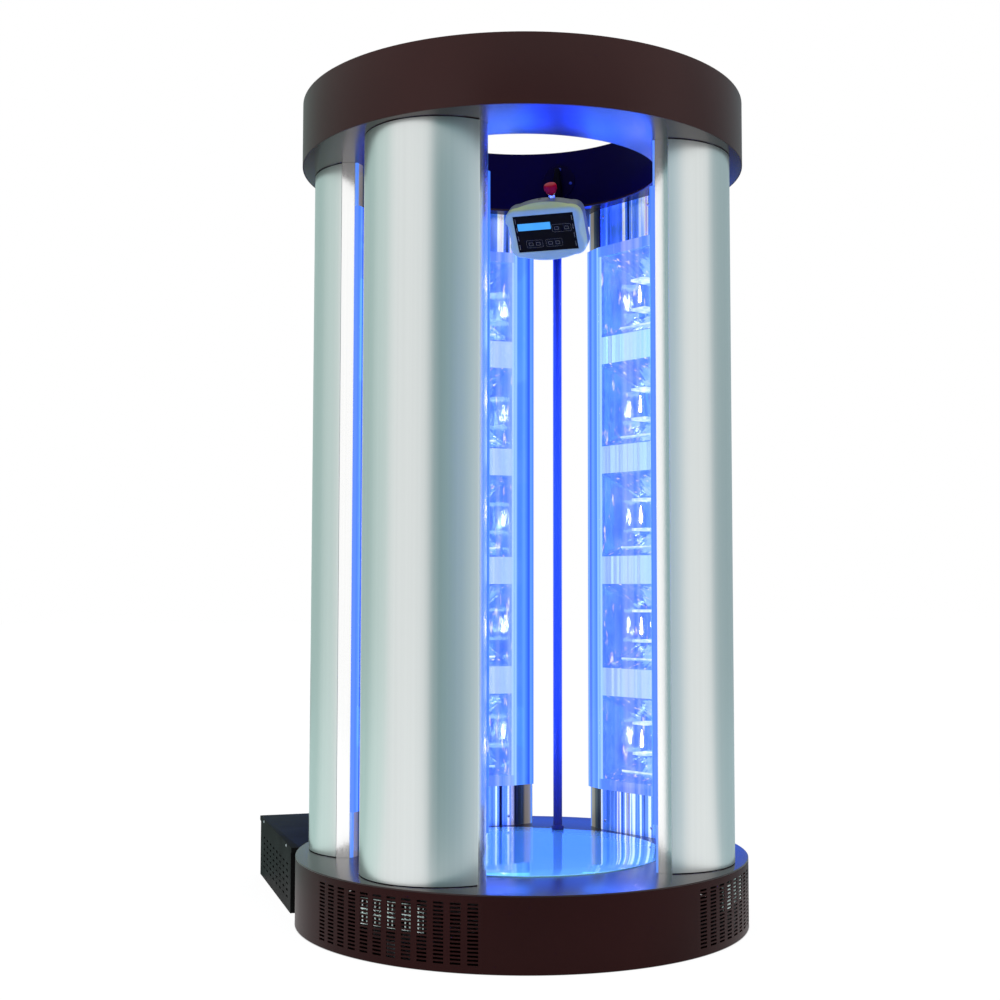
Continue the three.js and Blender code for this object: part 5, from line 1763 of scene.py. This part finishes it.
@dataclass
class ControlHead:
    """The control head: moulded halves, keypad with lit display and keys, and the stop button."""

    angle: float = BOOTH.pole_angle
    reach: float = 0.238
    level: float = 2.004
    tilt: float = math.radians(37)
    half_width: float = 0.121
    half_height: float = 0.079
    arch: float = 0.013
    face_waist: float = 0.009
    corner: float = 0.040
    depth: float = 0.076
    front_depth: float = 0.022
    back_round: float = 0.026
    front_round: float = 0.007
    front_bevel: float = 0.0008
    back_bevel: float = 0.0012
    mouth_bevel: float = 0.0012
    mouth_spread: float = 0.004
    keypad_width: float = 0.190
    keypad_height: float = 0.118
    keypad_drop: float = 0.002
    keypad_wall: float = 0.003
    ledge: float = 0.004
    key_width: float = 0.018
    key_height: float = 0.015
    key_proud: float = 0.0012
    key_below: float = 0.0012
    key_round: float = 0.003
    key_roll: float = 0.0008
    key_frame_inset: float = 0.005
    key_frame_round: float = 0.002
    key_frame_width: float = 0.0006
    print_rise: float = 0.0001
    print_lift: float = 0.00002
    display_round: float = 0.003
    display_roll: float = 0.0004
    display: tuple[float, float, float, float] = (-0.033, 0.022, 0.104, 0.023)
    stop_across: float = 0.027
    stop_behind: float = 0.046
    stop_sides: int = 48
    collar_sides: int = 40
    bush_across: float = -0.013
    bush_sunk: float = 0.0006
    bush_sides: int = 20
    pole_radius: float = BOOTH.pole_radius
    pole_place: float = BOOTH.pole_place
    clamp_rise: float = 0.040
    clamp_height: float = 0.034
    clamp_wall: float = 0.012
    clamp_round: float = 0.002
    clamp_sides: int = 40
    neck_width: float = 0.056
    neck_share: float = 0.9
    neck_start: float = 0.75
    neck_gap: float = 0.001
    curve_steps: int = 14

    KEYS = {
        "time_down": ("time_down_button", -0.052, -0.034),
        "time_up": ("time_up_button", -0.029, -0.034),
        "fan_down": ("fan_down_button", 0.010, -0.034),
        "fan_up": ("fan_up_button", 0.033, -0.034),
        "start": ("start_button", 0.037, 0.012),
        "stop": ("end_button", 0.068, 0.012),
    }
    PAIR_FRAMES = (((-0.0405, -0.034), (0.052, 0.024)), ((0.0215, -0.034), (0.052, 0.024)),
                   ((0.0525, 0.012), (0.060, 0.024)))
    PAIR_FRAME_ROUND, PAIR_FRAME_WIDTH = 0.004, 0.0004
    MARK_ACROSS, MARK_LEVELS, MARK_SIZE = 0.089, (-0.042, -0.014, 0.014, 0.042), (0.0016, 0.016)
    MARK_ROUND, MARK_WIDTH = 0.0006, 0.0005
    BUSH = [(0, -0.004), (0.0055, -0.004), (0.0055, 0.0012), (0.0035, 0.0012), (0.003, -0.002), (0, -0.002)]
    BUSH_ROUNDS = [0, 0.0005, 0.0008, 0.0006, 0.0003, 0]
    COLLAR = [(0.0073, -0.009), (0.011, -0.009), (0.011, 0.0115), (0.0098, 0.014), (0.0073, 0.014)]
    COLLAR_ROUND = 0.0008
    BUTTON = [(0, -0.005), (0.007, -0.005), (0.007, 0.0183), (0.0150, 0.0183), (0.0160, 0.0273),
              (0.0196, 0.0277), (0.0200, 0.0395), (0.0175, 0.0455), (0, 0.0473)]
    BUTTON_ROUNDS = [0, 0.0005, 0.0005, 0.0015, 0.0008, 0.002, 0.004, 0.006, 0]

    def __post_init__(self) -> None:
        """Works out the face's axes: right and up along it, and out of it."""
        a = math.radians(self.angle)
        outward = np.array([math.sin(a), -math.cos(a), 0.0])
        right = np.array([-math.cos(a), -math.sin(a), 0.0])
        up = -outward * math.sin(self.tilt) + np.array([0, 0, math.cos(self.tilt)])
        out = -outward * math.cos(self.tilt) - np.array([0, 0, math.sin(self.tilt)])
        origin = outward * self.reach + np.array([0, 0, self.level])
        self.face = Place(right, up, out, origin)
        self.outward = outward
        self.loop = self.outline(0.0, self.arch)

    def build(self) -> None:
        """Builds every piece of the head."""
        self.front_half()
        self.back_half()
        self.cable_hole()
        self.keypad()
        self.keys()
        self.stop()

    def outline(self, waist: float, rise: float) -> np.ndarray:
        """The head's outline: waisted sides, round corners and arched top and bottom, as quadratic curves.

        Args:
            waist: How far the middle of each side is drawn in.
            rise: How far the middle of the top rises.

        Returns:
            A loop of (right, up) rows, anticlockwise.
        """
        w, h, c = self.half_width, self.half_height, self.corner
        side, crest, foot = w - 2 * waist, h + 2 * rise, h + 2 * self.arch
        curves = np.array([
            [(w, c - h), (side, 0), (w, h - c)],
            [(w, h - c), (w, h), (w - c, h)],
            [(w - c, h), (0, crest), (c - w, h)],
            [(c - w, h), (-w, h), (-w, h - c)],
            [(-w, h - c), (-side, 0), (-w, c - h)],
            [(-w, c - h), (-w, -h), (c - w, -h)],
            [(c - w, -h), (0, -foot), (w - c, -h)],
            [(w - c, -h), (w, -h), (w, c - h)],
        ])
        t = np.linspace(0, 1, self.curve_steps, endpoint=False)[None, :, None]
        a, b, d = (curves[:, None, number] for number in range(3))
        return ((1 - t) ** 2 * a + 2 * t * (1 - t) * b + t**2 * d).reshape(-1, 2)

    def rectangle(self, width: float, height: float) -> np.ndarray:
        """Draws a rectangle with one point in the direction of each point of the outline.

        Args:
            width: Its width.
            height: Its height.

        Returns:
            A loop of (right, up) rows.
        """
        way = self.loop / np.linalg.norm(self.loop, axis=1, keepdims=True)
        room = np.array([width, height]) / 2 / np.maximum(np.abs(way), 1e-9)
        return way * room.min(axis=1, keepdims=True)

    def crest(self, across: float) -> float:
        """Returns the height of the arched top at a distance from the middle: a parabola."""
        return self.half_height + self.arch * (1 - (across / (self.half_width - self.corner)) ** 2)

    def loft(self, surface: Surface, rows: Sequence, closed: bool) -> Surface:
        """Joins loops at depths, given as (loop, depth) pairs.

        Args:
            surface: Where the patch goes.
            rows: Loops of (right, up) rows with their distance out of the face.
            closed: Whether the last loop joins the first.

        Returns:
            The surface.
        """
        loops = np.stack([loop for loop, _ in rows])
        depths = np.array([depth for _, depth in rows])[:, None]
        points = self.face(loops[..., 0], loops[..., 1], depths)
        return surface.patch(points, close_rows=closed, close_columns=True)

    def rolled(self, loop: np.ndarray, radius: float, top: float, steps: int) -> list:
        """Rolls an edge over: at each angle a, the loop is drawn in by r (1 - cos a), at top - r (1 - sin a).

        Args:
            loop: The edge, as a loop of (right, up) rows.
            radius: Radius r of the roll.
            top: Where the roll ends, out of the face.
            steps: Steps of a quarter turn.

        Returns:
            Pairs of a loop and its distance out of the face.
        """
        bend = np.linspace(0, math.pi / 2, steps)
        return [(offset(loop, radius * (1 - math.cos(a)), True), top - radius * (1 - math.sin(a))) for a in bend]

    def front_half(self) -> None:
        """Builds the front half: a frame lofted from the keypad's pocket over the rounded rim to the seam."""
        rim = self.rolled(self.outline(self.face_waist, 0.0), self.front_round, 0.0, 7)[::-1]
        gap = 2 * BOOTH.seat_gap
        seat = -self.keypad_drop - self.keypad_wall - BOOTH.seat_gap
        mouth = self.rectangle(self.keypad_width + gap, self.keypad_height + gap)
        well = self.rectangle(self.keypad_width - 2 * self.ledge, self.keypad_height - 2 * self.ledge)
        wide = self.rectangle(self.keypad_width + self.mouth_spread, self.keypad_height + self.mouth_spread)
        seam, bevel = -self.front_depth, self.front_bevel
        rows = [(mouth, seat), (mouth, -self.mouth_bevel), (wide, 0.0)] + rim
        rows += [(self.loop, seam + bevel), (offset(self.loop, bevel, True), seam), (well, seam), (well, seat)]
        self.loft(Surface(), rows, True).build("head_bezel", Finishes.HEAD, Slot.HEAD, ["head_front"])

    def back_half(self) -> None:
        """Builds the back half: a bowl lofted from the seam, with a neck and a clamp ring round the pole."""
        seam = -self.front_depth - BOOTH.seat_gap
        r, end = self.back_round, -self.depth
        bend = np.linspace(0, math.pi / 2, 12)
        bowl = [(offset(self.loop, r * (1 - math.cos(a)), True), end + r * (1 - math.sin(a))) for a in bend]
        centre = np.zeros_like(self.loop)
        small = offset(self.loop, self.back_bevel, True)
        rows = [(centre, seam), (small, seam), (self.loop, seam - self.back_bevel)] + bowl + [(centre, end)]
        surface = self.loft(Surface(), rows, False)
        axis = Place((1, 0, 0), (0, 1, 0), (0, 0, 1), self.outward * self.pole_place)
        level, half = self.level + self.clamp_rise, self.clamp_height / 2
        inner = self.pole_radius + BOOTH.seat_gap
        outer = inner + self.clamp_wall
        ring = fillet([(inner, level - half), (outer, level - half), (outer, level + half), (inner, level + half)],
                      self.clamp_round, 4, closed=True)
        turned(surface, ring, axis, self.clamp_sides)
        near = self.reach + self.depth * self.neck_start
        far = self.pole_place - self.pole_radius - self.neck_gap
        size = self.neck_width, self.clamp_height * self.neck_share, far - near
        block(surface, (0, level, (near + far) / 2), size, radial_place(self.angle))
        surface.build("head_bowl", Finishes.CASE, Slot.HEAD, ["head_back"])

    def cable_hole(self) -> None:
        """Builds the small dark bush in the casing's top, beside the stop button."""
        ring = fillet(self.BUSH, self.BUSH_ROUNDS, 3)
        axis = self.upward(self.bush_across, -self.bush_sunk)
        surface = turned(Surface(), ring, axis, self.bush_sides, closed=False)
        surface.build("casing_bush", Finishes.VOID, Slot.BLACK)

    def upward(self, across: float, rise: float) -> Place:
        """Finds the axes of a part that stands on the casing's top; the third runs up the face.

        Args:
            across: Distance from the head's middle.
            rise: How far above the casing it starts.

        Returns:
            The axes.
        """
        right, up, out = self.face.axes
        return Place(right, -out, up, self.face(across, self.crest(across) + rise, -self.stop_behind))

    def plate(self, middle: Sequence, size: Sequence, low: float, high: float, radius: float,
              edge: float) -> Surface:
        """Lofts a plate with round corners and an edge that rolls over at the top.

        Args:
            middle: Its middle, as (right, up).
            size: Its width and height.
            low: Where it starts, out of the face.
            high: Where it ends.
            radius: Radius of the corners.
            edge: Radius of the rolled edge.

        Returns:
            A new surface.
        """
        half = np.array(size) / 2
        corners = np.array([(1, -1), (1, 1), (-1, 1), (-1, -1)]) * half
        loop = fillet(corners, radius, 6, closed=True)
        centre = np.zeros_like(loop)
        rows = [(centre, low), (loop, low)] + self.rolled(loop, edge, high, 4) + [(centre, high)]
        return self.loft(Surface(), [(line + middle, depth) for line, depth in rows], False)

    def frame_line(self, surface: Surface, middle: Sequence, size: Sequence, level: float, radius: float,
                   width: float) -> Surface:
        """Adds a thin raised line round a rectangle with round corners.

        Args:
            surface: Where the patch goes.
            middle: The rectangle's middle, as (right, up).
            size: Its width and height.
            level: Where the line starts, out of the face.
            radius: Radius of the corners.
            width: Width of the line.

        Returns:
            The surface.
        """
        corners = np.array([(1, -1), (1, 1), (-1, 1), (-1, -1)]) * np.array(size) / 2
        outer = fillet(corners, radius, 5, closed=True)
        inner, top = offset(outer, width, True) + middle, level + self.print_rise
        outer = outer + middle
        return self.loft(surface, [(outer, level), (outer, top), (inner, top), (inner, level)], True)

    def keypad(self) -> None:
        """Dresses the keypad plate, and builds the lit display and the printed lines round the key pairs."""
        dress_node("keypad_panel", Finishes.KEYPAD)
        x, y, width, height = self.display
        top = -self.keypad_drop
        screen = self.plate((x, y), (width, height), top - self.keypad_wall, top, self.display_round,
                            self.display_roll)
        screen.build("lit_display_window", Finishes.DISPLAY, Slot.DISPLAY, ["display_window"])
        lines = Surface()
        level = top + self.print_lift
        for middle, size in self.PAIR_FRAMES:
            self.frame_line(lines, middle, size, level, self.PAIR_FRAME_ROUND, self.PAIR_FRAME_WIDTH)
        for across in (-self.MARK_ACROSS, self.MARK_ACROSS):
            for up in self.MARK_LEVELS:
                self.frame_line(lines, (across, up), self.MARK_SIZE, level, self.MARK_ROUND, self.MARK_WIDTH)
        lines.build("keypad_lines", Finishes.PRINT, Slot.KEY)

    def keys(self) -> None:
        """Builds each key cap and the fine frame on it, riding on the key's own body."""
        top = -self.keypad_drop + self.key_proud
        low = -self.keypad_drop - self.keypad_wall - BOOTH.seat_gap - self.key_below
        size = self.key_width, self.key_height
        inside = self.key_width - self.key_frame_inset, self.key_height - self.key_frame_inset
        for name, (body, x, y) in self.KEYS.items():
            cap = self.plate((x, y), size, low, top, self.key_round, self.key_roll)
            cap.build(f"{name}_cap", Finishes.KEY, Slot.KEY, [f"{name}_key"], body)
            ring = self.frame_line(Surface(), (x, y), inside, top, self.key_frame_round, self.key_frame_width)
            ring.build(f"{name}_frame", Finishes.PRINT, Slot.KEY, body=body)

    def stop(self) -> None:
        """Turns the stop button and its collar about the button's axis, which runs up the face."""
        axis = self.upward(self.stop_across, 0.0)
        collar = turned(Surface(), fillet(self.COLLAR, self.COLLAR_ROUND, 3, closed=True), axis, self.collar_sides)
        collar.build("stop_bush", Finishes.COLLAR, Slot.COLLAR, ["stop_collar"])
        profile = fillet(self.BUTTON, self.BUTTON_ROUNDS, 6)
        button = turned(Surface(), profile, axis, self.stop_sides, closed=False)
        button.build("stop_mushroom", Finishes.RED, Slot.STOP, ["stop_button"], "emergency_stop")


def dress_node(name: str, finish: Finish) -> None:
    """Gives a CAD node that stays its finish.

    Args:
        name: Name of the node.
        finish: What it is made of.
    """
    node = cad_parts[name]
    node.data.materials.clear()
    node.data.materials.append(finish.material())
    log.info("%s: dressed as %s", name, finish.name)


@dataclass
class Studio:
    """The camera, the pale floor, the cards and soft lights outside, and the blue light of the cabin."""

    camera_place: Colour = (-1.286, -3.9575, 0.906)
    focal_pixels: float = 1458.92
    image_pixels: float = 1000.0
    sensor: float = 36.0
    turn_left: float = math.radians(0.851)
    pitch: float = math.radians(3.674)
    roll: float = 0.0017
    clip_end: float = 200.0
    sky_light: tuple[float, float, float, float] = (0.92, 0.96, 1, 1)
    sky_strength: float = 0.5
    floor_half: float = 40.0
    floor_white: float = 1.12
    floor_seen: float = 0.84
    floor_painted_shadow: float = 0.01
    floor_edge: tuple[float, float] = (BOOTH.radius - 0.004, BOOTH.radius + 0.002)
    cabin_radiance: float = 2.2
    cabin_colour: Colour = (0.02, 0.07, 1.0)
    gap_share: float = 0.9
    gap_glint: tuple[float, float, float, float] = (0.421, 0.22, 0.90, 2.105)
    gap_glint_colour: Colour = (0.04, 0.38, 9.0)
    lamp_glint: tuple[float, float] = (0.405, 0.32)
    lamp_glint_levels: tuple[tuple[float, float], ...] = ((0.40, 0.53), (1.62, 1.97))
    lamp_glint_colour: Colour = (0.15, 0.75, 4.6)
    lamp_light: tuple[float, float, float, float] = (0.395, 0.30, 1.15, 1.66)
    gap_light: tuple[float, float, float, float] = (0.47, 0.15, 1.42, 1.30)
    far_floor: tuple[tuple[float, float], ...] = ((3.0, 0.006), (5.6, 0.006), (5.9, 0.42))
    far_floor_span: tuple[float, float] = (138.0, 190.0)
    far_floor_colour: Colour = (0.012, 0.008, 0.008)
    far_wall: tuple[tuple[float, float], ...] = ((6.7, 0.3), (6.7, 2.6))
    far_wall_span: tuple[float, float] = (146.0, 175.0)
    far_wall_colour: Colour = (0.07, 0.27, 1.75)
    card_radius: float = 7.0
    card_height: float = 6.0
    card_start: float = 1.0
    card_round: float = 1.0
    card_low: float = 0.004
    card_columns: int = 25
    round_cards: tuple[tuple[str, Colour, float, float], ...] = (
        ("right_card", (0.353, 0.46, 0.486), 67.0, 145.0),
        ("left_card", (0.64, 0.77, 0.74), -126.0, -92.0),
        ("rear_card", (0.42, 0.57, 0.54), -215.0, -126.0),
    )
    softboxes: tuple[tuple[str, Colour, Colour, tuple[float, float], float], ...] = (
        ("left_softbox", (-3.4, -2.6, 1.5), (0, 0, 1.2), (0.9, 3.0), 55),
        ("right_softbox", (3.4, -2.4, 1.6), (0, 0, 1.2), (0.9, 3.0), 40),
        ("top_softbox", (0.0, -1.5, 4.6), (0, 0, 1.0), (3.0, 3.0), 25),
    )
    front_card_shades: tuple[Colour, Colour] = ((0.12, 0.25, 0.26), (0.60, 0.72, 0.78))
    front_card_left: float = -0.80
    front_card_right: float = 0.50
    front_card_place: float = -1.2
    front_card_top: float = 2.42

    def build(self) -> None:
        """Builds camera, world, floor, cards and lights."""
        bpy.context.scene.view_settings.view_transform = "Standard"
        self.camera()
        self.world()
        self.floor()
        self.cards()
        self.lights()
        self.glints()

    def camera(self) -> None:
        """Makes the camera: it looks past the booth's axis by a small turn, a little upwards."""
        x, y, _ = self.camera_place
        heading = math.atan2(-y, -x) + self.turn_left
        forward = Vector((math.cos(heading) * math.cos(self.pitch), math.sin(heading) * math.cos(self.pitch),
                          math.sin(self.pitch)))
        data = bpy.data.cameras.new("camera")
        data.sensor_width = self.sensor
        data.lens = self.focal_pixels / self.image_pixels * self.sensor
        data.clip_end = self.clip_end
        camera = stand("camera", data)
        turn = forward.to_track_quat("-Z", "Y").to_matrix().to_4x4() @ Matrix.Rotation(self.roll, 4, "Z")
        camera.matrix_world = Matrix.Translation(self.camera_place) @ turn
        bpy.context.scene.camera = camera

    def world(self) -> None:
        """Makes the world: white where it is seen, mirrored or seen through, and a soft grey light otherwise."""
        world = bpy.data.worlds.new("studio")
        bpy.context.scene.world = world
        world.use_nodes = True
        nodes, links = world.node_tree.nodes, world.node_tree.links
        seen, light = nodes["Background"], nodes.new("ShaderNodeBackground")
        seen.inputs["Color"].default_value = (1, 1, 1, 1)
        light.inputs["Color"].default_value = self.sky_light
        light.inputs["Strength"].default_value = self.sky_strength
        path, mix = nodes.new("ShaderNodeLightPath"), nodes.new("ShaderNodeMixShader")
        total = path.outputs["Is Camera Ray"]
        for name in ("Is Glossy Ray", "Is Transmission Ray"):
            either = nodes.new("ShaderNodeMath")
            either.operation = "MAXIMUM"
            links.new(total, either.inputs[0])
            links.new(path.outputs[name], either.inputs[1])
            total = either.outputs[0]
        links.new(total, mix.inputs["Fac"])
        links.new(light.outputs["Background"], mix.inputs[1])
        links.new(seen.outputs["Background"], mix.inputs[2])
        links.new(mix.outputs["Shader"], nodes["World Output"].inputs["Surface"])

    def floor(self) -> None:
        """Makes the pale floor: matt, and mostly white to the eye, so that a soft shadow stays on it; a painted
        shadow darkens it under the booth.
        """
        nodes = Nodes("pale_floor")
        nodes.shader.inputs["Roughness"].default_value = 0.9
        nodes.shader.inputs["Specular IOR Level"].default_value = 0.1
        shade = nodes.noise(2.0)
        pale = nodes.ramp(shade, ((0.3, (0.80, 0.80, 0.80)), (0.7, (0.82, 0.82, 0.82))))
        white = nodes.add("ShaderNodeEmission", Strength=self.floor_white)
        path = nodes.add("ShaderNodeLightPath")
        either = nodes.math("MAXIMUM", path.outputs["Is Camera Ray"], path.outputs["Is Transmission Ray"])
        place = nodes.add("ShaderNodeTexCoord")
        away = nodes.add("ShaderNodeVectorMath", operation="LENGTH")
        nodes.link(place.outputs["Object"], away.inputs[0])
        outside = nodes.spread(away.outputs["Value"], 0.0, self.floor_seen, *self.floor_edge)
        # painted shadow: the floor's colour falls to nearly black under the booth
        under = nodes.spread(away.outputs["Value"], self.floor_painted_shadow, 1.0, *self.floor_edge)
        nodes.link(nodes.blend(1.0, pale, under, "MULTIPLY"), nodes.shader.inputs["Base Color"])
        seen = nodes.math("MULTIPLY", nodes.math("MAXIMUM", either, path.outputs["Is Glossy Ray"]), outside)
        mix = nodes.add("ShaderNodeMixShader")
        nodes.link(seen, mix.inputs["Fac"])
        nodes.link(nodes.shader.outputs["BSDF"], mix.inputs[1])
        nodes.link(white.outputs["Emission"], mix.inputs[2])
        nodes.link(mix.outputs["Shader"], nodes.tree.nodes["Material Output"].inputs["Surface"])
        half = self.floor_half
        mesh = bpy.data.meshes.new("pale_floor")
        corners = [(-half, -half, 0), (half, -half, 0), (half, half, 0), (-half, half, 0)]
        mesh.from_pydata(corners, [], [(0, 1, 2, 3)])
        mesh.materials.append(nodes.material)
        stand("pale_floor", mesh)

    def card(self, name: str, finish: Finish, points: np.ndarray) -> None:
        """Stands a card round the booth, which only gloss sees, so that metal gets its darker bands.

        Args:
            name: Its name.
            finish: How dark it is.
            points: Its grid of points, shaped (rows, columns, 3).
        """
        mesh = bpy.data.meshes.new(name)
        quads = grid_quads(points.shape[0], points.shape[1], False, False).reshape(-1, 4)
        mesh.from_pydata(points.reshape(-1, 3).tolist(), [], quads.tolist())
        mesh.materials.append(finish.material())
        card = stand(name, mesh)
        card.visible_camera = False
        card.visible_diffuse = False
        card.visible_shadow = False
        card.visible_transmission = False

    def round_card(self, name: str, colour: Colour, start: float, end: float, line: Sequence) -> None:
        """Stands a curved card: a line of radius and height, carried round between two angles.

        Args:
            name: Its name.
            colour: Its shade.
            start: Degrees from the entrance to one edge.
            end: Degrees to the other edge.
            line: Points as (radius, height) rows.
        """
        a = np.radians(np.linspace(start, end, self.card_columns))[:, None]
        radius, height = np.array(line).T[:, None]
        finish = Card(name, (0, 0, 0), (0, 0, 0), left=colour, right=colour)
        self.card(name, finish, BOOTH_PLACE(radius * np.sin(a), -radius * np.cos(a), height))

    def front_card(self) -> None:
        """Stands a flat card before the entrance, darker on its left."""
        left, right, y, top = self.front_card_left, self.front_card_right, self.front_card_place, self.front_card_top
        x, z = np.array([[left], [right]]), np.array([[self.card_low, top]])
        dark, pale = self.front_card_shades
        finish = Card("front_card", (0, 0, 0), (0, 0, 0), left=dark, right=pale, start=left, end=right)
        self.card("front_card", finish, BOOTH_PLACE(x, y, z))

    def area(self, name: str, place: Sequence, target: Sequence, size: tuple, power: float,
             colour: Colour = (1, 1, 1)) -> bpy.types.Object:
        """Makes one area light, which neither the camera nor gloss sees.

        Args:
            name: Its name.
            place: Where it stands.
            target: What it points at.
            size: Width and height.
            power: Power in watts.
            colour: Colour of the light.

        Returns:
            The new light.
        """
        data = bpy.data.lights.new(name, "AREA")
        data.shape = "RECTANGLE"
        data.size, data.size_y = size
        data.energy = power
        data.color = colour
        light = stand(name, data)
        way = Vector(target) - Vector(place)
        light.matrix_world = Matrix.Translation(place) @ way.to_track_quat("-Z", "Y").to_matrix().to_4x4()
        light.visible_camera = False
        light.visible_glossy = False
        return light

    def glint(self, name: str, angle: float, out: float, width: float, low: float, high: float,
              colour: Colour) -> None:
        """Makes an area light that faces the booth's axis and that only gloss sees.

        Args:
            name: Its name.
            angle: Degrees from the entrance to its middle.
            out: Distance from the booth's axis.
            width: Its width.
            low: Its lower edge.
            high: Its upper edge.
            colour: Its radiance.
        """
        station, level, height, most = radial_place(angle), (low + high) / 2, high - low, max(colour)
        light = self.area(name, station(0.0, level, out), station(0.0, level, 0.0), (width, height),
                          most * math.pi * width * height, tuple(part / most for part in colour))
        light.visible_glossy = True
        light.visible_diffuse = False
        light.visible_transmission = False

    def cards(self) -> None:
        """Stands the front card, three swept cards, and a dark floor and a blue wall far behind the booth."""
        self.front_card()
        sweep = fillet([(self.card_start, self.card_low), (self.card_radius, self.card_low),
                        (self.card_radius, self.card_height)], self.card_round, 8)
        for card in self.round_cards:
            self.round_card(*card, sweep)
        self.round_card("far_floor_card", self.far_floor_colour, *self.far_floor_span, self.far_floor)
        self.round_card("far_wall_card", self.far_wall_colour, *self.far_wall_span, self.far_wall)

    def lights(self) -> None:
        """Places the softboxes outside, and a blue light at each lamp cover and in each gap between pillars."""
        for softbox in self.softboxes:
            self.area(*softbox)
        stations, gaps = list(PILLARS.values()), pillar_gaps()
        for number, angle in enumerate(sorted(stations + gaps)):
            station = radial_place(angle)
            share = 1.0 if angle in stations else self.gap_share
            out, width, level, height = self.lamp_light if angle in stations else self.gap_light
            self.area(f"cabin_light_{number}", station(0.0, level, out), station(0.0, level, 0.0), (width, height),
                      share * self.cabin_radiance * math.pi * width * height, self.cabin_colour)

    def glints(self) -> None:
        """Places the glints of the gaps, and those of the lamps near floor and crown in the three rear pillars."""
        for number, angle in enumerate(pillar_gaps()):
            self.glint(f"gap_glint_{number}", angle, *self.gap_glint, self.gap_glint_colour)
        for number, angle in enumerate(list(PILLARS.values())[1:-1]):
            for end, levels in zip(("low", "high"), self.lamp_glint_levels):
                self.glint(f"{end}_lamp_glint_{number}", angle, *self.lamp_glint, *levels, self.lamp_glint_colour)


def main() -> None:
    """Builds the sub-assemblies in order, and then the studio."""
    logging.basicConfig(level=logging.INFO, format="%(message)s")
    for name, angle in PILLARS.items():
        Pillar(name, angle).build()
    Crown().build()
    Plinth().build()
    BallastBox().build()
    Pole().build()
    ControlHead().build()
    Studio().build()


if __name__ == "__main__":
    main()
